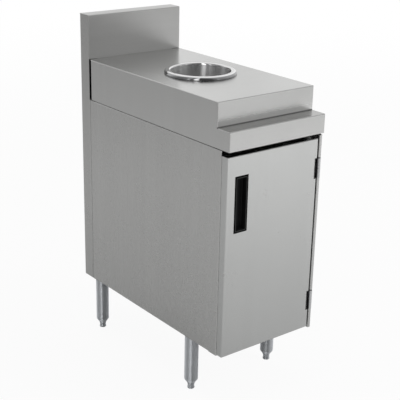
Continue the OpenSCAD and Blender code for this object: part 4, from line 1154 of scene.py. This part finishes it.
# %% [markdown]
# ## The bin
# The bin is a tapered tub of thick plastic. Rings again: up the outside with a small foot, a step
# for stacking and a rim that rolls outwards and down, then down the inside to the floor. Each ring
# is a rounded rectangle whose inset shrinks with the height, so the walls have their draft.
# %% Bin
RIM = 8 * MM
DRAFT = 16 * MM
WALL = 3 * MM
STEP_DOWN = 58 * MM
bin_low, bin_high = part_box("waste_bin")
bin_size = (bin_high - bin_low) / 2
bin_middle = (bin_high + bin_low) / 2
step = bin_high.z - STEP_DOWN
step_inset = RIM + DRAFT * STEP_DOWN / (bin_high.z - bin_low.z)
foot_inset = RIM + DRAFT
bin_rings = np.vstack([
    beside((foot_inset, bin_low.z, 0), (7, 0, 30), (2, 0.8, 33), (0, 6, 35)),
    beside((step_inset, step, 0), (2.2, -3, 38), (0.6, 0, 39), (0, 3, 40)),
    beside((RIM, bin_high.z, 0), (1, -17, 40), (0, -4, 40)),
    beside((0, bin_high.z, 0), (2.2, -4, 46), (2, -16, 46), (0.4, -16, 48), (0, -15.4, 48),
           (0, -3.5, 48), (0.9, -1.2, 47.5), (3, 0, 46)),
    beside((RIM, bin_high.z, 0), (0.5, 0, 41)),
    beside((RIM + WALL, bin_high.z, 0), (-0.8, -0.8, 38), (0, -3, 37)),
    beside((step_inset + WALL, step, 0), (0, 3, 37), (2.2, -3, 35)),
    beside((foot_inset + WALL, bin_low.z, 0), (0, 14, 32), (2.5, 6, 29), (10, 3.2, 24)),
])
tub = surface("bin_moulded", ring_grid(bin_rings, bin_middle, bin_size, 2, 12), 35, caps=True)
finish_piece(tub, "waste_bin", "grey_plastic", bin_plastic, "waste_bin")
print("bin", [round(2000 * v) for v in bin_size], "mm, a skin of", len(tub.data.polygons), "faces")

# %% [markdown]
# ## The studio
# Steel has no colour of its own to speak of: it shows the room. So the room is designed first for
# the reflections. The floor is a disc of pale paper that runs on into a white background, and
# reflected rays see that paper as the lamps light it. Close to the cabinet the paper is painted
# grey, a painted shade, because the foot of each sheet mirrors the near floor and should come out
# darker than its top. The walls of the room are a list of light and dark zones around the cabinet:
# white behind it, dark behind the camera's stand, one tall bright window beside that, and narrow
# doors and screens further round.
# Flat sheets take the tone of one zone, while the rolled rim, the bore and the legs show them all as
# upright bands. Two soft boxes light the scene from the right and above.
# %% Floor
FLOOR_RADIUS = 30.0
# Near the cabinet the paper is painted grey, a painted shade, fading out between these distances.
FLOOR_SHADE_START = 0.2
FLOOR_SHADE_END = 1.9
FLOOR_PAINTED_SHADE = (0.69, 0.69, 0.69)
PAPER_DARK = (0.81, 0.81, 0.81)
PAPER_PALE = (0.85, 0.85, 0.85)
MOTTLE = 3.0
WHITENS_FROM = 1.0
WHITENS_TO = 6.0
NEAR_WHITE = 0.94
WHITE = (1.0, 1.0, 1.0, 1.0)
floor_mesh = bpy.data.meshes.new("studio_floor")
work = bmesh.new()
bmesh.ops.create_circle(work, cap_ends=True, radius=FLOOR_RADIUS, segments=96)
work.to_mesh(floor_mesh)
work.free()
floor = bpy.data.objects.new("studio_floor", floor_mesh)
scene.collection.objects.link(floor)

floor_paper, tree, paper, place = new_material("studio_paper", 0.0)
pale = mix(tree, noise(tree, place["Object"], MOTTLE, 3), PAPER_DARK, PAPER_PALE)
distance = vectors(tree, "LENGTH", place["Object"])
# Painted shade: grey paper near the middle, pale paper further out.
away = ramp(tree, distance, FLOOR_SHADE_START, FLOOR_SHADE_END)
feed(tree, paper, {"Base Color": mix(tree, away, FLOOR_PAINTED_SHADE, pale), "Roughness": 0.9,
                   "Specular IOR Level": 0.1})
rays = add(tree, "LightPath").outputs
to_camera = ramp(tree, distance, WHITENS_FROM, WHITENS_TO, NEAR_WHITE, 1.0)
share = calculate(tree, "MULTIPLY", rays["Is Camera Ray"], to_camera)
share = calculate(tree, "MULTIPLY_ADD", rays["Is Transmission Ray"], to_camera, share)
white = add(tree, "Emission", {"Color": WHITE, "Strength": 1.0})
both = add(tree, "MixShader", {0: share, 1: paper.outputs[0], 2: white.outputs[0]})
feed(tree, tree.nodes["Material Output"], {"Surface": both.outputs[0]})
floor_mesh.materials.append(floor_paper)
print("floor", 2 * FLOOR_RADIUS, "metres across")

# %% [markdown]
# The world shows plain white to the camera and a soft even light to matt surfaces. Only reflections
# see the room: a Color Ramp turns the angle around the cabinet into light, and a noise on the same
# angle breaks the zones up. Each stop of the room is an angle in degrees and a strength. The angle
# is 0 behind the camera and grows towards its left.
# %% World
DARK_END = (-0.62, -0.785, 0)
LEFT_END = (-0.785, 0.62, 0)
AMBIENT = 0.45
CLUTTER = 7.0
ROOM = [(-180, 1.0), (-150, 1.0), (-130, 0.8), (-100, 0.65), (-76, 0.46), (-66, 0.5), (-57, 0.7),
        (-52, 0.25), (-44, 0.3), (-38, 0.12), (2, 0.1), (6, 1.5), (10, 2.0), (19, 2.0), (22, 0.3),
        (31, 0.2), (36, 1.0), (42, 0.9), (45, 0.2), (52, 0.5), (58, 0.2), (66, 0.35), (74, 0.2),
        (84, 0.4), (92, 0.4), (110, 0.8), (130, 0.95), (180, 1.0)]
world = bpy.data.worlds.new("studio_room")
scene.world = world
world.use_nodes = True
tree = world.node_tree
tree.nodes.clear()
rays = add(tree, "LightPath").outputs
direction = add(tree, "TexCoord").outputs["Generated"]
around = calculate(tree, "ARCTAN2", vectors(tree, "DOT_PRODUCT", direction, LEFT_END),
                   vectors(tree, "DOT_PRODUCT", direction, DARK_END))
walls = add(tree, "ValToRGB", {0: calculate(tree, "MULTIPLY_ADD", around, 0.5 / math.pi, 0.5)})
stops = walls.color_ramp.elements
while len(stops) < len(ROOM):
    stops.new(0.5)
for stop, (angle, light) in zip(stops, ROOM):
    stop.position = angle / 360 + 0.5
    stop.color = (light, light, light, 1)
clutter_place = add(tree, "CombineXYZ", {0: calculate(tree, "MULTIPLY", around, CLUTTER)}).outputs[0]
clutter = ramp(tree, noise(tree, clutter_place, 1.0, 4, 0.7), 0.3, 0.7, 0.75, 1.15)
room = calculate(tree, "MULTIPLY", walls.outputs[0], clutter)
ambient, seen, mirrored = (add(tree, "Background", {"Color": WHITE, "Strength": strength}).outputs[0]
                           for strength in (AMBIENT, 1.0, room))
lit = add(tree, "MixShader", {0: rays["Is Glossy Ray"], 1: ambient, 2: mirrored}).outputs[0]
plain = calculate(tree, "MAXIMUM", rays["Is Camera Ray"], rays["Is Transmission Ray"])
both = add(tree, "MixShader", {0: plain, 1: lit, 2: seen})
add(tree, "OutputWorld", {"Surface": both.outputs[0]})
print("room of", len(ROOM), "stops")

# %% Lamps


def soft_box(name, place, target, size, power):
    """A square area light of that size in metres and power in watts, turned to its target."""
    lamp = bpy.data.lights.new(name, "AREA")
    lamp.size = size
    lamp.energy = power
    made = bpy.data.objects.new(name, lamp)
    made.visible_glossy = False
    made.location = place
    made.rotation_euler = (Vector(target) - Vector(place)).to_track_quat("-Z", "Y").to_euler()
    scene.collection.objects.link(made)
    print(name, power, "watts")


soft_box("soft_box_right", (2.2, -2.8, 2.4), (1.2, -1.8, 0), 1.6, 51)
soft_box("soft_box_above", (0, 0, 3.4), (0, 0, 0), 2.0, 27)
